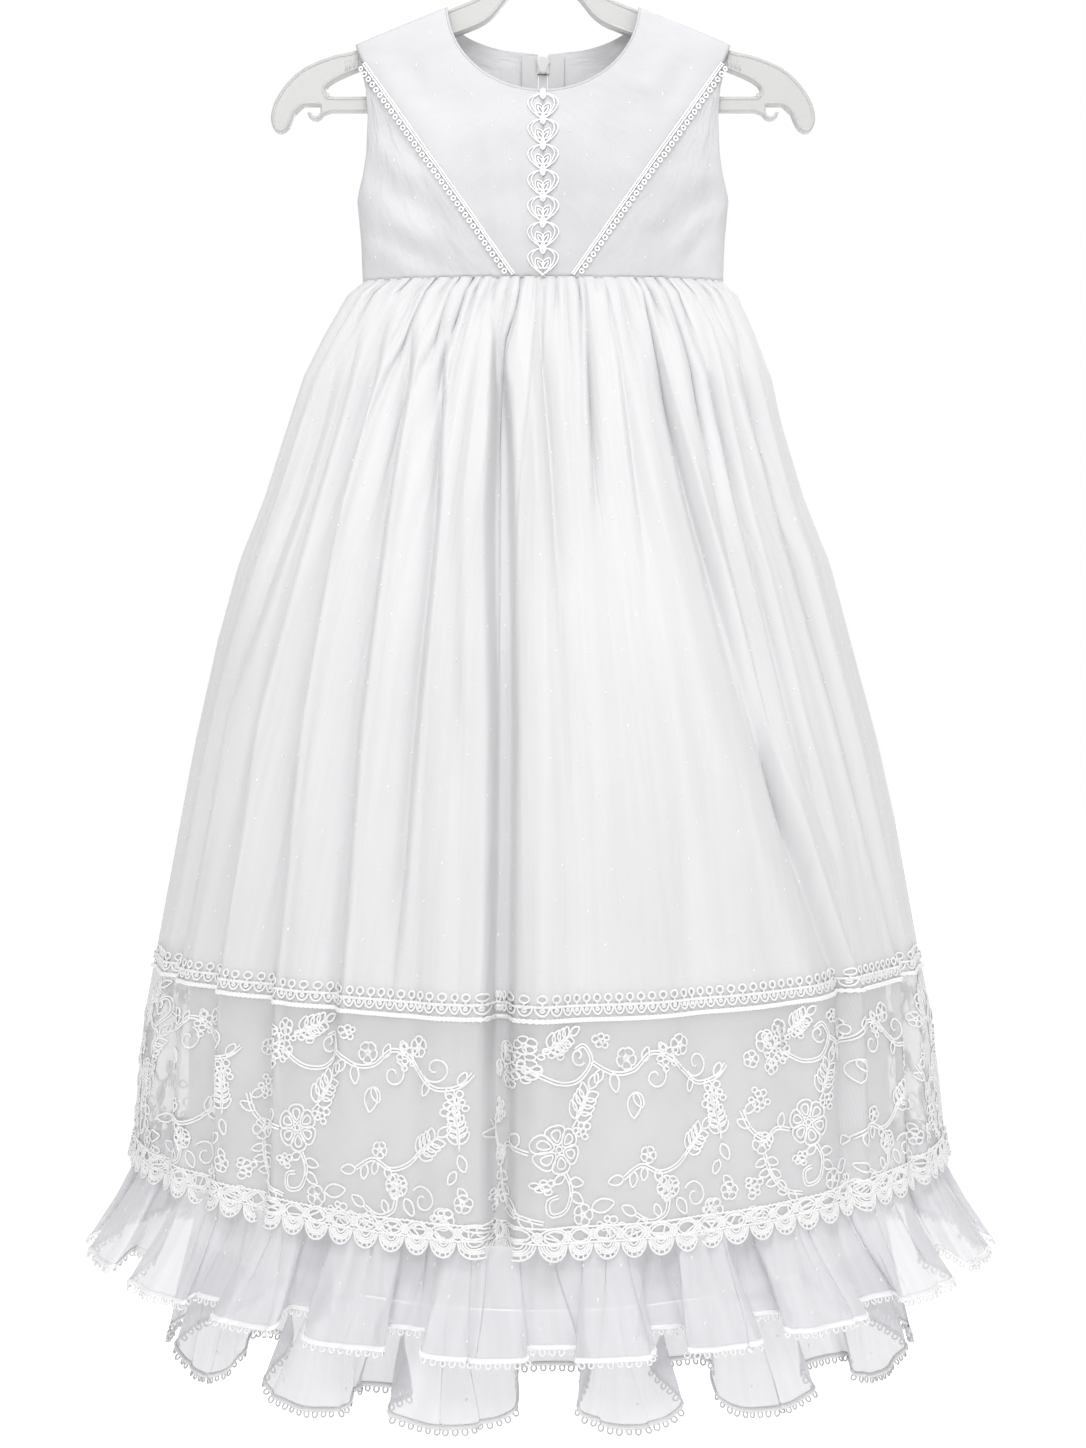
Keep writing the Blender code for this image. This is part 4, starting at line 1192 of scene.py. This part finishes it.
def make_bodice_dots():
    """Faint dots on the bodice, front and back."""
    made = {}
    for word, side in SIDES:
        places = []
        chance = np.random.RandomState(80 + side)
        neck_drop = FRONT_NECK_DROP if side == FRONT else BACK_NECK_DROP
        for number in range(8):
            for column in range(-5, 6):
                z = -118.0 - number * DOT_ROW + chance.uniform(-3, 3)
                x = (column + 0.5 * (number % 2)) * DOT_PITCH + 4.0 + chance.uniform(-3, 3)
                neck = NECK_TOP - neck_drop * math.sqrt(max(0.0, NECK_HALF_WIDTH**2 - x * x)) / NECK_HALF_WIDTH
                if abs(x) > BODICE.at("half_width", z) - 6 or z > neck - 6:
                    continue
                if z > shoulder_seam(x) - 8 or z < WAIST + 4:
                    continue
                if side == FRONT and (abs(abs(x) - v_line(z)) < 8 or (abs(x) < 12 and z < LACE_TOP + 4)):
                    continue
                if side == BACK and abs(x) < 8:
                    continue
                point, facing = bodice_lift(side, x, z)
                places.append((point + 0.1 * facing, facing, 0.45, chance.uniform(0.5, 1.2)))
        made[word] = dots_on(f"bodice_dots_{word}", places, dot_thread)
    return made


def on_front(x, z, lift, closed=False):
    """A thread's line on the bodice front."""
    points, facing = bodice_lift(FRONT, x, z)
    return points + facing * lift, facing, closed


def make_slanting_braid(word, hand):
    """Two twisted strands along a V seam, with a row of rings on their outer side."""
    z = np.linspace(V_TOP_Z - 2.5, FOOT + 1.5, 260)
    x = hand * v_line(z)
    way = unit(np.gradient(np.stack((x, z), axis=1), axis=0))
    outward = np.stack((-way[:, 1], way[:, 0]), axis=1)
    if outward[0, 0] * hand < 0:
        outward = -outward
    lengths = run_of(bodice_points(FRONT, x, z))
    total = lengths[-1]

    def line_at(marks, aside, lift, closed=False):
        px, pz, ox, oz = (np.interp(marks, lengths, row) for row in (x, z, *outward.T))
        return on_front(px + ox * aside, pz + oz * aside, lift, closed)

    along = np.linspace(0, total, int(total / 0.7))
    lines = [
        line_at(along, middle + 0.42 * np.sin(along * math.tau / 2.8 + phase), 0.6)
        for middle in (0.1, -1.3) for phase in (0.0, math.pi)
    ]
    t = np.arange(10) * math.tau / 10
    rings = [
        line_at(mark + 1.25 * np.cos(t), 2.75 + 1.25 * np.sin(t), 0.8, True)
        for mark in np.arange(2.0, total - 1.5, 4.2)
    ]
    radii = [TWISTED_RADIUS] * len(lines) + [RING_RADIUS] * len(rings)
    return tubes(f"bodice_braid_thread_{word}", lines + rings, radii, 5, thread, f"bodice_braid_{word}")


def make_bodice_trims():
    """Slanting braids, the chain of medallions down the front, and the neck's rolled edge."""
    made = {word: make_slanting_braid(word, hand) for word, hand in HANDS}
    pitch = (LACE_TOP - LACE_FOOT) / MEDALLIONS
    lines = []
    t = np.linspace(-0.1, 1.1, 36)
    inside = np.clip(t, 0, 1)
    beyond = np.abs(t - inside) / 0.1
    swell = np.sin(math.pi * inside**0.68) ** 0.8
    for number in range(MEDALLIONS):
        top = LACE_TOP - number * pitch
        leaves = [
            (0, top - 0.5 * long, 90, long, wide, 1.7 - 0.1 * wide)
            for wide, long in ((2.8, 7.0), (1.7, 5.0), (0.7, 3.0))
        ]
        for hand in (1, -1):
            for size in (9.3, 7.0):
                lines.append(on_front(hand * (size * swell - 1.7 * beyond), top - pitch * t, 0.9 + 0.3 * hand))
            for size in ((7.6, 4.2, 0.7), (5.6, 1.7, 0.8)):
                leaves.append((hand * 0.4, top - pitch * 0.78, 90 - hand * 30, *size))
        for *sizes, lift in leaves:
            shape, closed = leaf(*sizes)
            lines.append(on_front(*shape.T, lift, closed))
    made["chain"] = tubes("lace_chain_thread", lines, *CHAIN_YARN, thread, "bodice_lace_centre")

    neck = arc(0, NECK_TOP, NECK_HALF_WIDTH, -FRONT_NECK_DROP, np.radians(np.linspace(2, 178, 150)))
    made["neck"] = tubes("neck_roll_front", [on_front(*neck.T, -0.35)], *NECK_ROLL, satin)
    return made


def make_zip_teeth():
    """Two rows of moulded teeth that meet down the middle of the coil."""
    vertices, faces = [], []
    z = -139.0
    while z > FOOT + 2:
        y = float(bodice_points(BACK, 0.0, z)[1])
        for hand, shift in ((1, 0.0), (-1, 0.75)):
            start = len(vertices)
            width = sorted((hand * 0.1, hand * 2.3))
            vertices += product(width, (y - 1.1, y + 0.25), (z - shift - 0.45, z - shift + 0.05))
            for face in ((0, 1, 3, 2), (4, 6, 7, 5), (0, 4, 5, 1), (2, 3, 7, 6), (0, 2, 6, 4), (1, 5, 7, 3)):
                faces.append([start + k for k in face])
        z -= 1.5
    return new_piece("zip_teeth", vertices, faces, nylon, smooth=False)


def make_slider_plate():
    """The slider's inner plate: a round crown, wide shoulders and a narrow tail."""
    slider = bpy.data.objects["zip_slider"]
    corners = np.array([slider.matrix_world @ Vector(corner) for corner in slider.bound_box]) / MM
    inner, top = corners[:, 1].min(), corners[:, 2].max()
    right = [(1.5, 1.1), (2.2, -0.2), (3.9, -1.6), (4.1, -3.4), (3.0, -6.0), (2.6, -9.6), (0.0, -10.2)]
    outline = [(0.0, 1.5)] + right + [(-x, z) for x, z in right[-2::-1]]
    vertices, faces, count = [], [], len(outline)
    for share, y in ((1.0, inner + 0.1), (1.0, inner - 0.5), (0.78, inner - 0.9)):
        vertices += [(share * x, y, top - 4.5 + share * (z + 4.5)) for x, z in outline]
    for ring in range(2):
        for k in range(count):
            n = (k + 1) % count
            faces.append((ring * count + k, ring * count + n, (ring + 1) * count + n, (ring + 1) * count + k))
    faces.append([2 * count + k for k in range(count)])
    return new_piece("zip_slider_plate", vertices, faces, nylon, smooth=False)


def make_hanger_rim():
    """The raised rim round the hanger's faces, and the ribbed rests on its arms."""
    upper = (
        (4.5, -60.0), (7.0, -67.0), (16.0, -76.0), (30.0, -86.5), (44.0, -94.3), (60.0, -100.8),
        (90.0, -113.4), (116.0, -125.4), (129.0, -128.2), (147.0, -135.5), (159.0, -146.0),
        (166.5, -158.0), (168.4, -168.0), (166.0, -174.5), (161.5, -176.0), (157.0, -172.5), (153.5, -164.5),
        (148.0, -159.6), (139.0, -159.4),
    )
    lower = (
        (0.0, -83.5), (13.0, -86.0), (22.3, -93.5), (29.0, -102.0), (36.0, -108.0), (47.0, -113.0),
        (80.0, -125.0), (113.0, -137.0), (126.0, -142.5), (132.5, -146.5), (134.5, -150.0), (132.0, -153.0),
        (120.0, -153.8), (0.0, -153.8),
    )
    lines = []
    for _, side in SIDES:
        for hand in (1, -1):
            shapes = []
            for table, inside in ((upper, 1.5), (lower, -1.5)):
                line = spline(table, 6)
                way = unit(np.gradient(line, axis=0))
                shapes.append(line + np.stack((way[:, 1], -way[:, 0]), axis=1) * inside)
            for number in range(5):
                x, z = 112.0 + 2.4 * number, -128.6 - 0.8 * number
                shapes.append(np.array(((x, z - 0.5), (x, z - 6.5))))
            for shape in shapes:
                points = np.stack((hand * shape[:, 0], np.full(len(shape), side * HANGER_FACE), shape[:, 1]), axis=1)
                lines.append((points, np.tile((0.0, float(side), 0.0), (len(points), 1)), False))
    return tubes("hanger_rim", lines, *HANGER_RIM, plastic)


# ---------------------------------------------------------------- the whole gown

bodice = make_bodice()
skirt_pieces, skirts = make_skirt()
ruffles = make_ruffles()
lace = make_band_lace()
dots = make_skirt_dots(skirts)
make_ruffle_dots(ruffles)
bodice_dots = make_bodice_dots()
trims = make_bodice_trims()
make_zip_teeth()
make_slider_plate()
make_hanger_rim()

for node, material in (
    ("hanger", plastic), ("zip_tape_l", tape), ("zip_tape_r", tape), ("zip_coil", nylon),
    ("zip_slider", nylon), ("zip_pull", nylon),
):
    piece = bpy.data.objects[node]
    piece.data.materials.clear()
    piece.data.materials.append(material)

for word, side in SIDES:
    skirt_piece, band_piece, under_piece = skirt_pieces[word]

# ---------------------------------------------------------------- studio


def make_studio():
    """A pale floor, white surroundings, soft lights and a level camera."""
    white, pale = (1, 1, 1, 1), (0.93, 0.93, 0.93, 1)
    glow = {"Emission Color": white, "Emission Strength": 0.6}
    bpy.ops.mesh.primitive_plane_add(size=40.0, location=(0, 0, -1.3))
    floor = bpy.context.object
    floor.name = "studio_floor"
    floor.data.materials.append(Shading("studio_floor", {"Base Color": pale, "Roughness": 0.9, **glow}).material)

    world = bpy.data.worlds.new("studio")
    world.use_nodes = True
    nodes, link = world.node_tree.nodes, world.node_tree.links.new
    soft = nodes["Background"]
    soft.inputs["Strength"].default_value = 0.5
    seen = nodes.new("ShaderNodeBackground")
    for background in (soft, seen):
        background.inputs["Color"].default_value = white
    mix = nodes.new("ShaderNodeMixShader")
    link(nodes.new("ShaderNodeLightPath").outputs["Is Camera Ray"], mix.inputs["Fac"])
    link(soft.outputs[0], mix.inputs[1])
    link(seen.outputs[0], mix.inputs[2])
    link(mix.outputs[0], nodes["World Output"].inputs["Surface"])
    bpy.context.scene.world = world

    add = bpy.context.scene.collection.objects.link
    middle = np.array((0, 0, -0.5))
    for name, place, size, power in (
        ("key", (-0.5, -1.9, 0.8), 0.8, 14.6),
        ("fill", (1.5, -1.5, 0.1), 1.2, 5.4),
        ("top", (0.1, -0.6, 1.0), 0.6, 11.5),
        ("back", (0.7, 2.2, 0.5), 1.2, 14.0),
    ):
        light = bpy.data.lights.new(name, "AREA")
        light.size, light.energy = size, power
        lamp = bpy.data.objects.new(name, light)
        lamp.location = place
        lamp.visible_camera = False
        lamp.rotation_euler = Vector(middle - place).to_track_quat("-Z", "Y").to_euler()
        add(lamp)

    view = bpy.data.cameras.new("view")
    view.lens, view.sensor_width = 68.2, 36.0
    camera = bpy.data.objects.new("view", view)
    camera.location = (0.0, -1.7, -0.5419)
    camera.rotation_euler = (math.pi / 2, 0.0, 0.0)
    add(camera)
    bpy.context.scene.camera = camera
    bpy.context.scene.view_settings.view_transform = "Standard"


make_studio()
